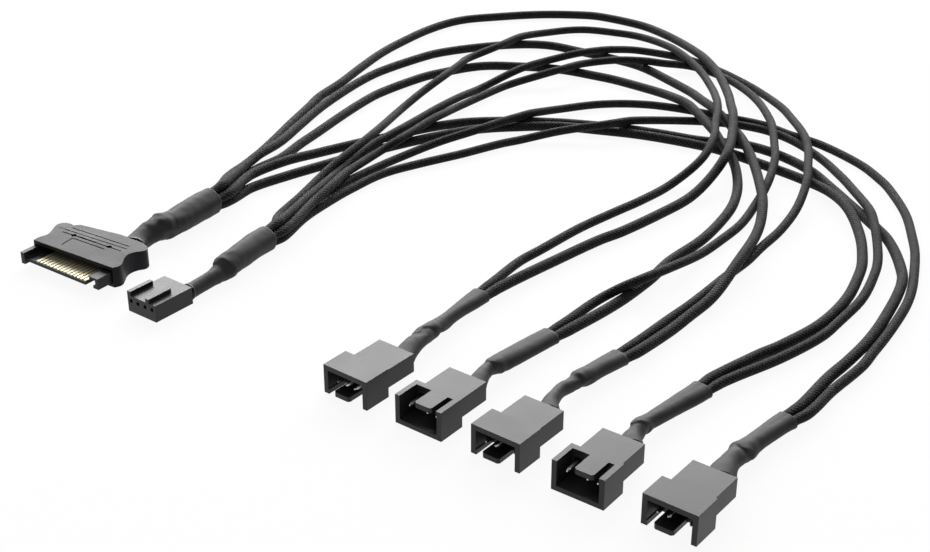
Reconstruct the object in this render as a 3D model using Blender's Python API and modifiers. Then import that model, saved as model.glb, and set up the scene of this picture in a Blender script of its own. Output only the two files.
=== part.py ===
"""Fan splitter cable: a power plug and a control socket feed five fan plugs over ten sleeved leads.

The plugs lie in a row along X on the surface z = 0 with their mouths towards -Y,
and the leads run in wide loops behind them, in +Y. The origin is the middle of the
base of the plugs, the socket and their shrink tubes, without the leads.
"""
import math

import bmesh
import bpy
import numpy as np
from mathutils import Matrix, Vector
from mathutils.geometry import interpolate_bezier

MM = 0.001

# Clearances, in millimetres as every size below
SEAT_GAP = 0.3       # between pieces that butt against each other
FIT_GAP = 0.15       # between a metal part and the slot it sits in
LEAD_GAP = 0.25      # between leads that lie side by side or cross
CUT_OVER = 1.0       # how far a cutter runs past what it cuts

# Fan plug housing: a wide mouth and a narrower body behind it
PLUG_WIDTH = 13.1
PLUG_HEIGHT = 7.5
PLUG_WALL = 1.3
MOUTH_LENGTH = 7.6
MOUTH_DEPTH = 6.1
BODY_WIDTH = 10.6
BODY_HEIGHT = 4.9
BODY_LENGTH = 10.5
GUIDE_WIDTH = 4.7        # the guide tongue in the slotted wall of the mouth
GUIDE_CORNER = 0.5
KEY_SLOT_WIDTH = 1.4     # the narrow slot beside the guide tongue
KEY_SLOT_INSET = 0.2     # from that slot to the inside of the mouth's wall
EDGE_BEVEL = 0.12

# Pins and terminals share one pitch, so that plug and socket fit each other
PIN_PITCH = 2.54
PIN_COUNT = 4
PIN_SIZE = 0.64
PIN_TIP = 0.7
PIN_TIP_SIZE = 0.3
PIN_SETBACK = 1.8        # pin tips stay this far inside the mouth
PIN_LEVEL = 4.6          # pin axis above the wall that has no slots
CHANNEL_SIZE = 1.8       # the terminal channels through the body
CRIMP_LENGTH = 8.0

# Control socket housing with two keying ridges on top
SOCKET_WIDTH = 10.1
SOCKET_HEIGHT = 4.65
SOCKET_LENGTH = 12.5
SOCKET_HOLE = 0.96
SOCKET_HOLE_LEVEL = 3.2
RIDGE_WIDTH = 1.25
RIDGE_HEIGHT = 1.1
RIDGE_LENGTH = 7.6
INNER_RIDGE = 2.2        # middle of the second ridge, from the middle of the socket
TERMINAL_LENGTH = 9.0
TERMINAL_BORE = 5.4
TERMINAL_SETBACK = 1.2

# Power plug: a moulded hood over an insulator with a contact tongue and two guide arms
HOOD_HEIGHT = 5.8
HOOD_REAR_DROP = 0.7     # the top falls by this much towards the back
HOOD_DROP_START = 13.0
HOOD_BEVEL = 0.55
HOOD_ROOF = 1.0          # thickness over the pocket
HOOD_FLOOR = 0.9
POCKET_DEPTH = 9.0       # the deep pocket holds the insulator's base
POCKET_LEFT = 13.6
POCKET_RIGHT = 10.9
ROOT_DEPTH = 3.3         # the shallow, wider pocket holds the roots of the arms
ROOT_LEFT = 14.5
ROOT_RIGHT = 13.7
CONTACT_COUNT = 15
CONTACT_PITCH = 1.27
CONTACT_WIDTH = 0.7
CONTACT_THICKNESS = 0.3
CONTACT_STAND = 0.1      # contacts stand this much above the tongue
CONTACT_NOSE = 0.2
TONGUE_TOP = 2.8
TONGUE_THICKNESS = 0.9
TONGUE_RIGHT = 9.6
TONGUE_FRONT = 0.25      # the tongue's edge in front of the contacts
TONGUE_REACH = 9.5
FLANGE_DEPTH = 2.0       # the arms join the tongue through side flanges this deep
LEFT_ARM_WIDTH = 1.3
LEFT_ARM_TIP = 0.9       # in front of the contacts
RAIL_GAP = 0.4           # open gap between the left arm and the rail on the tongue
RAIL_WIDTH = 0.6
RAIL_HEIGHT = 0.3
RIGHT_ARM_SETBACK = 0.6  # the right arm's front is this far behind that of the contacts
RIGHT_ARM_WALL = 1.0
LEDGE_WIDTH = 3.1
LEDGE_THICKNESS = 0.7
LEDGE_DROP = 0.2         # the ledge lies this much below the left arm's top
FOOT_WIDTH = 1.9
FOOT_THICKNESS = 0.8

# Leads
POWER_LEAD = 2.7
SIGNAL_LEAD = 2.4
LEAD_LIFT = 0.05         # leads clear the surface by this much
LEAD_SPACING = 7.0       # between the points of a finished lead
LEAD_POINTS = 72         # a finished lead has no more points than this
CHORD_ALLOWANCE = 0.3    # for the straight stretches between those points
FINE_SPACING = 1.25      # between the points that are moved apart
LEAD_STEPS = 6
SPREAD_ROUNDS = 160
ROUNDS_PER_PAIRING = 8
PAIR_MARGIN = 1.0
HELD_POINTS = 3.0
END_RUN = 6.0            # leads leave and enter the shrink tubes straight over this length
SLEEVE_SIDES = 12
SLEEVE_STEPS = 1

# Where each plug lies: x, y of the middle of its mouth edge, turn about Z in degrees,
# whether its slotted wall is up, and which of the four pin places are filled
PLUGS = {
    "fan_plug_1": {"place": (11.6, -26.7), "turn": -1.0,
                   "slots_up": False, "filled": (True, True, True, True)},
    "fan_plug_2": {"place": (32.7, -26.4), "turn": -0.2,
                   "slots_up": True, "filled": (True, False, True, True)},
    "fan_plug_3": {"place": (53.3, -25.6), "turn": -0.5,
                   "slots_up": False, "filled": (True, False, True, True)},
    "fan_plug_4": {"place": (74.8, -25.9), "turn": 1.0,
                   "slots_up": True, "filled": (True, False, True, True)},
    "fan_plug_5": {"place": (96.1, -24.6), "turn": -0.1,
                   "slots_up": False, "filled": (True, False, True, True)},
}
SOCKET_PLACE = (-54.5, -28.1)
SOCKET_TURN = -0.5
HOOD_PLACE = (-85.4, -27.9)
HOOD_TURN = 1.5

# Shrink tubes: stations of distance sideways and backwards from the housing's rear middle,
# height of the axis, half width and half height
PLUG_SLEEVES = {
    "fan_plug_1": [(2.2, 0.3, 3.7, 3.0, 2.2), (1.0, 2.7, 3.7, 2.8, 2.2), (-0.4, 6.7, 3.6, 2.4, 2.1),
                   (-0.9, 9.9, 3.4, 2.1, 2.0), (-1.7, 12.4, 3.1, 2.3, 2.25), (-2.2, 17.4, 2.8, 2.0, 2.0),
                   (-2.9, 22.3, 2.5, 1.7, 1.9), (-3.7, 28.5, 2.2, 2.0, 1.9), (-4.2, 33.6, 2.0, 2.6, 1.9),
                   (-4.4, 37.7, 2.0, 2.8, 1.9)],
    "fan_plug_2": [(2.4, 0.3, 3.5, 2.7, 2.2), (1.0, 3.0, 3.5, 2.0, 2.1), (-0.1, 5.9, 3.4, 1.7, 2.0),
                   (-0.6, 8.4, 3.2, 1.8, 1.9), (-0.7, 10.7, 2.9, 2.3, 2.3), (-0.5, 15.3, 2.5, 2.8, 2.1),
                   (0.0, 22.5, 2.2, 3.0, 2.0), (0.9, 31.6, 2.0, 2.9, 1.9)],
    "fan_plug_3": [(1.0, 0.3, 3.7, 2.8, 2.2), (-0.9, 3.5, 3.6, 2.0, 2.1), (-2.0, 7.1, 3.5, 1.5, 1.9),
                   (-2.6, 9.8, 3.3, 1.5, 1.8), (-2.7, 12.0, 3.1, 1.65, 1.8), (-2.6, 14.8, 2.8, 1.8, 1.8),
                   (-2.5, 17.6, 2.6, 2.3, 2.1), (-2.2, 23.6, 2.3, 2.4, 2.0), (-1.2, 32.5, 2.0, 2.8, 1.9)],
    "fan_plug_4": [(1.8, 0.3, 3.7, 2.9, 2.2), (0.2, 3.0, 3.6, 2.4, 2.1), (-0.5, 6.2, 3.4, 2.1, 2.1),
                   (-0.9, 8.5, 3.2, 2.2, 2.25), (-1.0, 12.2, 2.8, 1.9, 2.0), (-0.6, 17.4, 2.4, 2.2, 1.9),
                   (0.0, 22.9, 2.1, 2.5, 1.9), (0.8, 28.0, 2.0, 2.8, 1.9), (1.4, 32.2, 2.0, 3.0, 1.9)],
    "fan_plug_5": [(1.3, 0.3, 3.7, 3.4, 2.2), (0.2, 3.4, 3.7, 3.0, 2.2), (-0.4, 6.8, 3.5, 2.4, 2.1),
                   (-0.5, 9.5, 3.3, 2.3, 2.1), (-0.7, 12.1, 3.0, 2.6, 2.3), (-0.6, 17.0, 2.6, 2.35, 2.1),
                   (-0.4, 22.4, 2.2, 2.4, 2.0), (0.0, 28.0, 2.0, 2.7, 1.9), (0.6, 31.4, 2.0, 2.8, 1.9)],
}
SOCKET_SLEEVE = [(3.2, 0.3, 2.5, 2.0, 2.1), (3.0, 3.0, 2.5, 1.9, 2.1), (2.8, 5.7, 2.5, 1.95, 2.1),
                 (2.7, 9.0, 2.6, 1.95, 2.1), (2.4, 11.8, 2.8, 2.3, 2.4), (2.1, 14.0, 3.3, 3.2, 3.1),
                 (0.9, 20.8, 3.5, 3.3, 3.4), (-0.5, 27.6, 3.5, 3.5, 3.4), (-1.1, 33.1, 3.5, 3.5, 3.4)]
HOOD_SLEEVE = [(4.6, 0.3, 3.0, 4.2, 2.5), (3.4, 3.0, 3.1, 3.6, 2.6), (2.9, 5.9, 3.3, 3.7, 2.8),
               (3.1, 8.2, 3.6, 4.0, 3.2), (4.0, 10.7, 3.8, 4.5, 3.6), (4.8, 13.7, 3.8, 4.0, 3.6),
               (4.8, 16.3, 3.8, 3.9, 3.6), (4.4, 21.1, 3.9, 4.0, 3.7), (4.0, 26.1, 3.9, 4.1, 3.8),
               (3.7, 31.2, 3.9, 4.0, 3.8)]

# Outline of the hood seen from above, from its front left corner round by the front:
# x, y from the middle of the contact row, and whether the outline turns a corner there
HOOD_OUTLINE = [
    (-14.7, 4.1, True), (14.1, 5.3, True), (14.8, 7.2, False), (13.8, 9.3, False), (12.4, 11.3, False),
    (11.8, 13.3, False), (12.2, 15.6, False), (13.2, 17.4, False), (12.6, 19.2, False), (9.6, 20.9, True),
    (0.2, 20.9, True), (-12.2, 18.4, True), (-13.2, 17.0, True), (-15.9, 16.8, False),
    (-17.0, 15.0, False), (-15.6, 11.6, False), (-14.3, 8.6, False), (-14.9, 6.0, False),
]
HOOD_REAR = 20.9

# The order of the five leads round each shrink tube, as angles from the +X side
POWER_RING = {1: 162.0, 2: 90.0, 3: 234.0, 4: 18.0, 5: 306.0}
SIGNAL_RING = {1: 162.0, 2: 90.0, 3: 18.0, 4: 234.0, 5: 306.0}

# Which two leads go to which plug, the one on its -X side first
PLUG_LEADS = {
    "fan_plug_1": ("signal_lead_1", "power_lead_1"),
    "fan_plug_2": ("signal_lead_3", "power_lead_3"),
    "fan_plug_3": ("signal_lead_2", "power_lead_2"),
    "fan_plug_4": ("power_lead_5", "signal_lead_5"),
    "fan_plug_5": ("power_lead_4", "signal_lead_4"),
}

# Routes of the leads from shrink tube to plug: x, y, and how many leads lie underneath
ROUTES = {
    "power_lead_1": [
        (-94, 42.5, 0), (-96.5, 53.5, 0), (-101, 67, 0), (-106.5, 81.5, 0), (-112, 97, 0),
        (-115, 105, 0), (-117.5, 118, 0), (-121.5, 133, 0), (-125, 148, 0), (-126.5, 160.5, 0),
        (-127, 178.5, 0), (-124, 192.5, 0), (-115, 204.5, 0), (-104.5, 215.5, 0), (-92.5, 224, 0),
        (-85.5, 227, 0), (-69, 228, 0), (-58.5, 225, 0.1), (-46.5, 219, 0.3), (-33, 209, 0.8),
        (-25.5, 202.5, 1), (-18, 195.5, 1), (-6, 180.5, 1.2), (0.5, 170.5, 1.6), (6, 162, 1.9),
        (13, 149, 1.8), (19.5, 134, 1.9), (20.5, 123.5, 0.8), (20.5, 112, 0.1), (19, 98, 0),
        (16.5, 82, 0), (14.5, 74.5, 0), (12, 59, 0),
    ],
    "power_lead_2": [
        (-92.5, 49.5, 0.4), (-94.5, 56, 0.5), (-98, 68.5, 0.3), (-103.5, 83, 0.1), (-108.5, 98, 0),
        (-111.5, 111.5, 0), (-113.5, 124, 0), (-114, 135, 0), (-111.5, 153, 0), (-109, 161.5, 0),
        (-101.5, 174, 0), (-92, 185, 0), (-83, 190.5, 0), (-71, 192, 0), (-59, 193, 0),
        (-46.5, 192.5, 0), (-31.5, 187, 0), (-20, 181, 0.2), (-14, 176.5, 0.4), (0, 165, 1),
        (11.5, 155.5, 0.8), (17.5, 149, 1), (26, 139, 0.9), (36.5, 124, 1), (41.5, 116, 0.9),
        (47, 104, 0.4), (51, 90, 0.1), (53, 77, 0), (55, 63.5, 0), (55, 53, 0),
        (55, 44, 0),
    ],
    "power_lead_3": [
        (-91.5, 48.5, 0), (-91.5, 61.5, 0), (-94, 73, 0), (-96, 84, 0), (-98.5, 96.5, 0),
        (-100.5, 108.5, 0), (-101.5, 119.5, 0), (-99.5, 138, 0), (-97, 146, 0), (-90, 159.5, 0),
        (-79, 167.5, 0), (-66.5, 173.5, 0), (-52, 176, 0), (-44.5, 176.5, 0), (-27.5, 174, 0.2),
        (-17, 169, 0.6), (-11, 165.5, 0.8), (4, 153.5, 0.8), (10, 147, 1), (20, 137.5, 0.8),
        (27.5, 127, 0.3), (32.5, 115.5, 0.1), (35, 104, 0), (36.5, 90.5, 0), (36, 75, 0),
        (37, 64, 0), (37, 49.5, 0), (36.5, 41, 0),
    ],
    "power_lead_4": [
        (-87, 44, 0.6), (-86.5, 58, 0.5), (-84.5, 71, 0.1), (-80, 84.5, 0), (-77, 91, 0),
        (-72, 104, 0), (-65, 116, 0), (-56, 124.5, 0), (-45.5, 131.5, 0), (-34, 137.5, 0),
        (-23, 142.5, 0), (-10.5, 146.5, 0), (2, 149.5, 0), (14.5, 155, 0), (26.5, 154.5, 0),
        (39, 150, 0), (48.5, 143.5, 0), (58, 136.5, 0), (68, 129, 0), (77.5, 121, 0),
        (88.5, 106, 0), (91.5, 98.5, 0), (95, 81.5, 0), (96.5, 70, 0), (96.5, 57, 0),
        (96, 47.5, 0),
    ],
    "power_lead_5": [
        (-84, 40.5, 0), (-81, 54, 0), (-77.5, 66, 0), (-74, 78, 0), (-69.5, 91, 0),
        (-64, 104, 0), (-57.5, 115.5, 0), (-48.5, 125, 0), (-39, 133, 0), (-27.5, 138, 0),
        (-15.5, 142.5, 0), (-2.5, 145.5, 0), (10.5, 147, 0), (25, 145.5, 0), (39.5, 143, 0.1),
        (51, 138, 0.4), (60.5, 130, 0.6), (70, 118, 0.3), (76.5, 106, 0.1), (79, 99, 0),
        (82.5, 84, 0), (83, 69, 0), (80, 53.5, 0), (78, 47, 0),
    ],
    "signal_lead_1": [
        (-64.5, 32.5, 0), (-68, 44.5, 0), (-71.5, 57, 0.1), (-73.5, 73, 0.8), (-76, 85, 1),
        (-79, 93.5, 0.8), (-86, 111, 0.2), (-88.5, 124.5, 0.5), (-89, 136, 1), (-92, 150.5, 0.8),
        (-94, 158.5, 0.6), (-91.5, 172.5, 1), (-92, 185, 0.7), (-91, 196, 0.3), (-83.5, 211, 0),
        (-70, 216.5, 0), (-62, 217, 0.1), (-51.5, 213.5, 0.4), (-39, 205.5, 0.9), (-25, 195, 1),
        (-14, 183.5, 1.1), (-7, 174, 1.5), (0, 163, 1.9), (5.5, 152, 1.9), (11, 141, 2),
        (13.5, 129.5, 1.3), (11.5, 115.5, 0.1), (10, 102, 0), (8.5, 93.5, 0), (6, 77.5, 0),
        (5, 60, 0), (4.5, 51, 0),
    ],
    "signal_lead_2": [
        (-62, 40.5, 0.5), (-69.5, 59.5, 0.1), (-71.5, 66, 0.1), (-72.5, 80.5, 0.6), (-72.5, 95, 0.9),
        (-73.5, 106, 0.9), (-74.5, 117, 0.9), (-76.5, 130.5, 0.5), (-77.5, 142.5, 0.1), (-73.5, 159.5, 0.9),
        (-70.5, 173, 0.7), (-65, 183, 1), (-58.5, 198.5, 0.4), (-54, 204.5, 0.1), (-40.5, 208.5, 0),
        (-27.5, 206.5, 0), (-12.5, 201, 0), (-3, 196.5, 0), (9.5, 187.5, 0.3), (16.5, 180.5, 0.5),
        (28, 167, 1), (34, 158, 1), (40.5, 145, 1), (44.5, 136.5, 1), (48.5, 123, 0.4),
        (50.5, 109.5, 0.1), (51, 97, 0), (52, 87.5, 0), (52.5, 70.5, 0), (52.5, 58, 0),
        (52, 48.5, 0),
    ],
    "signal_lead_3": [
        (-59, 39, 0.8), (-61.5, 50.5, 0.9), (-66, 64, 0.4), (-68.5, 80.5, 0.5), (-67.5, 89, 1),
        (-69.5, 106, 0.9), (-70.5, 112.5, 0.7), (-72.5, 125, 0.3), (-72.5, 147, 0.1), (-70, 154.5, 0.3),
        (-62, 166.5, 1), (-59, 180, 0.6), (-50.5, 185.5, 1), (-40.5, 195.5, 0.4), (-32.5, 202.5, 0.1),
        (-20.5, 202, 0), (-10.5, 197, 0.1), (1.5, 186.5, 0.5), (12.5, 173.5, 0.9), (17.5, 166.5, 1),
        (26, 152, 1), (29.5, 145.5, 1), (34, 133.5, 0.7), (37, 121, 0.2), (40, 106.5, 0),
        (40.5, 94, 0), (40.5, 83.5, 0.1), (40, 68.5, 0.7), (38.5, 56.5, 0.9), (33.5, 45.5, 0.1),
    ],
    "signal_lead_4": [
        (-61, 32.5, 0), (-63.5, 48, 0), (-65, 58, 0), (-65, 67.5, 0), (-63.5, 84, 0),
        (-60, 99, 0.3), (-53, 110, 1), (-51, 117.5, 1), (-48.5, 130, 0.6), (-46, 143, 0.1),
        (-39, 155.5, 0), (-28.5, 164, 0), (-16.5, 168.5, 0), (-3, 170.5, 0), (10.5, 172.5, 0),
        (21.5, 170.5, 0), (32.5, 169.5, 0), (48.5, 163.5, 0), (58, 157, 0), (63, 152.5, 0),
        (73.5, 140, 0), (81.5, 126.5, 0), (85.5, 118.5, 0), (90.5, 105, 0), (94, 94, 0),
        (96, 83, 0), (98, 65.5, 0), (99, 57, 0), (98.5, 42.5, 0),
    ],
    "signal_lead_5": [
        (-58.5, 36, 0), (-60, 48.5, 0), (-60.5, 57.5, 0), (-60, 72, 0), (-56, 84, 0),
        (-50.5, 97, 0), (-45.5, 110.5, 0), (-42.5, 116.5, 0), (-34.5, 127, 0.5), (-23, 137.5, 1),
        (-19, 148, 0.5), (-11, 159.5, 0), (-0.5, 166, 0), (12, 169.5, 0), (23, 168, 0),
        (37, 160.5, 0), (48, 151.5, 0.1), (53.5, 146, 0.2), (66, 131.5, 0.6), (71.5, 123.5, 0.6),
        (78.5, 111, 0.3), (81.5, 103.5, 0.1), (85, 88, 0), (85.5, 74, 0), (85.5, 64, 0),
        (82.5, 49, 0),
    ],
}


def clear_scene():
    for thing in list(bpy.data.objects):
        bpy.data.objects.remove(thing, do_unlink=True)


def make_collection(name):
    collection = bpy.data.collections.new(name)
    bpy.context.scene.collection.children.link(collection)
    return collection


def material(name, color, roughness, metallic=0.0):
    made = bpy.data.materials.new(name)
    made.use_nodes = True
    shader = made.node_tree.nodes["Principled BSDF"]
    shader.inputs["Base Color"].default_value = (*color, 1.0)
    shader.inputs["Roughness"].default_value = roughness
    shader.inputs["Metallic"].default_value = metallic
    return made


def place_matrix(place, turn):
    spot = Matrix.Translation((place[0] * MM, place[1] * MM, 0.0))
    return spot @ Matrix.Rotation(math.radians(turn), 4, "Z")


def add_object(name, mesh, finish, matrix=None):
    thing = bpy.data.objects.new(name, mesh)
    PARTS.objects.link(thing)
    if not mesh.materials:
        mesh.materials.append(finish)
    thing.matrix_world = matrix or Matrix.Identity(4)
    return thing


def block(name, low, high, collection):
    """A box between two corners, in millimetres, as an object in its own frame."""
    shape = bmesh.new()
    bmesh.ops.create_cube(shape, size=1.0)
    size = Vector(high) - Vector(low)
    middle = (Vector(high) + Vector(low)) / 2
    bmesh.ops.scale(shape, vec=size * MM, verts=shape.verts)
    bmesh.ops.translate(shape, vec=middle * MM, verts=shape.verts)
    mesh = bpy.data.meshes.new(name)
    shape.to_mesh(mesh)
    shape.free()
    thing = bpy.data.objects.new(name, mesh)
    collection.objects.link(thing)
    return thing


def tool_block(name, low, high):
    thing = block(name, low, high, CUTTERS)
    thing.hide_render = True
    thing.display_type = "WIRE"
    return thing


def boolean(thing, other, operation):
    step = thing.modifiers.new(other.name, "BOOLEAN")
    step.operation = operation
    step.object = other
    step.solver = "EXACT"


def soften_edges(thing, width, segments=1):
    step = thing.modifiers.new("edges", "BEVEL")
    step.width = width * MM
    step.segments = segments
    step.limit_method = "ANGLE"
    step.angle_limit = math.radians(40)


def evaluated_mesh(thing, name):
    """The mesh that an object has after its modifiers, with loose caps welded."""
    bpy.context.view_layer.update()
    graph = bpy.context.evaluated_depsgraph_get()
    mesh = bpy.data.meshes.new_from_object(thing.evaluated_get(graph))
    mesh.name = name
    shape = bmesh.new()
    shape.from_mesh(mesh)
    bmesh.ops.remove_doubles(shape, verts=shape.verts, dist=0.001 * MM)
    shape.to_mesh(mesh)
    shape.free()
    bpy.data.objects.remove(thing, do_unlink=True)
    return mesh


def pin_places():
    """Sideways places of the four pins, from the first to the fourth."""
    return [(index - (PIN_COUNT - 1) / 2) * PIN_PITCH for index in range(PIN_COUNT)]


def plug_housing_mesh():
    """One housing with its slotted wall up, its mouth edge at y = 0."""
    half = PLUG_WIDTH / 2
    inner = half - PLUG_WALL
    length = MOUTH_LENGTH + BODY_LENGTH
    middle = PLUG_HEIGHT / 2
    housing = block("housing", (-half, 0, 0), (half, MOUTH_LENGTH, PLUG_HEIGHT), PARTS)
    body = tool_block(
        "body", (-BODY_WIDTH / 2, MOUTH_LENGTH - CUT_OVER, middle - BODY_HEIGHT / 2),
        (BODY_WIDTH / 2, length, middle + BODY_HEIGHT / 2))
    boolean(housing, body, "UNION")
    mouth = tool_block(
        "mouth", (-inner, -CUT_OVER, PLUG_WALL), (inner, MOUTH_DEPTH, PLUG_HEIGHT - PLUG_WALL))
    boolean(housing, mouth, "DIFFERENCE")
    slot_right = inner - KEY_SLOT_INSET
    guide_right = slot_right - KEY_SLOT_WIDTH
    guide_left = guide_right - GUIDE_WIDTH
    slots = [("wide_slot", -inner, guide_left), ("key_slot", guide_right, slot_right)]
    for name, left, right in slots:
        cutter = tool_block(
            name, (left, -CUT_OVER, middle), (right, MOUTH_DEPTH, PLUG_HEIGHT + CUT_OVER))
        boolean(housing, cutter, "DIFFERENCE")
    for name, across in [("guide_corner_left", guide_left), ("guide_corner_right", guide_right)]:
        corner = corner_tool(name, across, GUIDE_CORNER, middle, PLUG_HEIGHT + CUT_OVER)
        boolean(housing, corner, "DIFFERENCE")
    low = PIN_LEVEL - CHANNEL_SIZE / 2
    high = PIN_LEVEL + CHANNEL_SIZE / 2
    for index, across in enumerate(pin_places()):
        channel = tool_block(
            f"channel_{index + 1}", (across - CHANNEL_SIZE / 2, MOUTH_DEPTH - CUT_OVER, low),
            (across + CHANNEL_SIZE / 2, length + CUT_OVER, high))
        boolean(housing, channel, "DIFFERENCE")
    soften_edges(housing, EDGE_BEVEL)
    return evaluated_mesh(housing, "fan_plug_housing")


def corner_tool(name, across, reach, low, high):
    """An upright square prism turned by 45 degrees, which cuts a corner at y = 0 off by its reach."""
    shape = bmesh.new()
    bmesh.ops.create_cone(shape, cap_ends=True, segments=4, radius1=reach * MM, radius2=reach * MM,
                          depth=(high - low) * MM)
    bmesh.ops.translate(shape, vec=Vector((across, 0, (low + high) / 2)) * MM, verts=shape.verts)
    mesh = bpy.data.meshes.new(name)
    shape.to_mesh(mesh)
    shape.free()
    thing = bpy.data.objects.new(name, mesh)
    CUTTERS.objects.link(thing)
    thing.hide_render = True
    thing.display_type = "WIRE"
    return thing


def pin_mesh():
    """One pin along y at the origin: a square blade with a tapered tip and a crimp box behind."""
    blade_end = MOUTH_DEPTH + BODY_LENGTH - CRIMP_LENGTH
    crimp = CHANNEL_SIZE - 2 * FIT_GAP
    pin = block("pin", (-PIN_SIZE / 2, PIN_SETBACK + PIN_TIP, -PIN_SIZE / 2),
                (PIN_SIZE / 2, blade_end + CUT_OVER, PIN_SIZE / 2), PARTS)
    shape = bmesh.new()
    shape.from_mesh(pin.data)
    shape.normal_update()
    front = min(shape.faces, key=lambda face: face.calc_center_median().y)
    made = bmesh.ops.extrude_discrete_faces(shape, faces=[front])
    tip = made["faces"][0]
    bmesh.ops.translate(shape, vec=(0, -PIN_TIP * MM, 0), verts=tip.verts)
    share = PIN_TIP_SIZE / PIN_SIZE
    bmesh.ops.scale(shape, vec=(share, 1, share), verts=tip.verts)
    shape.to_mesh(pin.data)
    shape.free()
    box = tool_block("crimp", (-crimp / 2, blade_end, -crimp / 2),
                     (crimp / 2, MOUTH_LENGTH + BODY_LENGTH - SEAT_GAP, crimp / 2))
    boolean(pin, box, "UNION")
    return evaluated_mesh(pin, "plug_pin")


def plug_matrix(plug):
    """The housing's place; with its slots down it is turned over about its long axis."""
    matrix = place_matrix(plug["place"], plug["turn"])
    if not plug["slots_up"]:
        lift = Matrix.Translation((0, 0, PLUG_HEIGHT * MM))
        matrix = matrix @ lift @ Matrix.Rotation(math.pi, 4, "Y")
    return matrix


def build_fan_plugs():
    housing = plug_housing_mesh()
    pin = pin_mesh()
    for name, plug in PLUGS.items():
        matrix = plug_matrix(plug)
        add_object(f"{name}_housing", housing, PLASTIC, matrix)
        for index, across in enumerate(pin_places()):
            spot = Matrix.Translation((across * MM, 0, PIN_LEVEL * MM))
            if plug["filled"][index]:
                add_object(f"{name}_pin_{index + 1}", pin, TIN, matrix @ spot)


def build_socket():
    matrix = place_matrix(SOCKET_PLACE, SOCKET_TURN)
    half = SOCKET_WIDTH / 2
    housing = block("socket", (-half, 0, 0), (half, SOCKET_LENGTH, SOCKET_HEIGHT), PARTS)
    places = pin_places()
    for index, across in enumerate([RIDGE_WIDTH / 2 - half, INNER_RIDGE]):
        ridge = tool_block(
            f"ridge_{index + 1}", (across - RIDGE_WIDTH / 2, 0, SOCKET_HEIGHT - CUT_OVER),
            (across + RIDGE_WIDTH / 2, RIDGE_LENGTH, SOCKET_HEIGHT + RIDGE_HEIGHT))
        boolean(housing, ridge, "UNION")
    for index, across in enumerate(places):
        low = SOCKET_HOLE_LEVEL - CHANNEL_SIZE / 2
        high = SOCKET_HOLE_LEVEL + CHANNEL_SIZE / 2
        channel = tool_block(
            f"terminal_channel_{index + 1}", (across - CHANNEL_SIZE / 2, TERMINAL_SETBACK - SEAT_GAP, low),
            (across + CHANNEL_SIZE / 2, SOCKET_LENGTH + CUT_OVER, high))
        boolean(housing, channel, "DIFFERENCE")
        half_hole = SOCKET_HOLE / 2
        hole = tool_block(
            f"pin_hole_{index + 1}", (across - half_hole, -CUT_OVER, SOCKET_HOLE_LEVEL - half_hole),
            (across + half_hole, TERMINAL_SETBACK, SOCKET_HOLE_LEVEL + half_hole))
        boolean(housing, hole, "DIFFERENCE")
    soften_edges(housing, EDGE_BEVEL)
    add_object("control_socket_housing", evaluated_mesh(housing, "control_socket_housing"), PLASTIC, matrix)
    terminal = terminal_mesh()
    for index, across in enumerate(places):
        spot = Matrix.Translation((across * MM, TERMINAL_SETBACK * MM, SOCKET_HOLE_LEVEL * MM))
        add_object(f"control_socket_terminal_{index + 1}", terminal, TIN, matrix @ spot)


def terminal_mesh():
    """A box terminal along y: open in front to take a pin."""
    outer = CHANNEL_SIZE / 2 - FIT_GAP
    inner = PIN_SIZE / 2 + FIT_GAP / 2
    box = block("terminal", (-outer, 0, -outer), (outer, TERMINAL_LENGTH, outer), PARTS)
    bore = tool_block("terminal_bore", (-inner, -CUT_OVER, -inner), (inner, TERMINAL_BORE, inner))
    boolean(box, bore, "DIFFERENCE")
    return evaluated_mesh(box, "socket_terminal")


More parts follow.
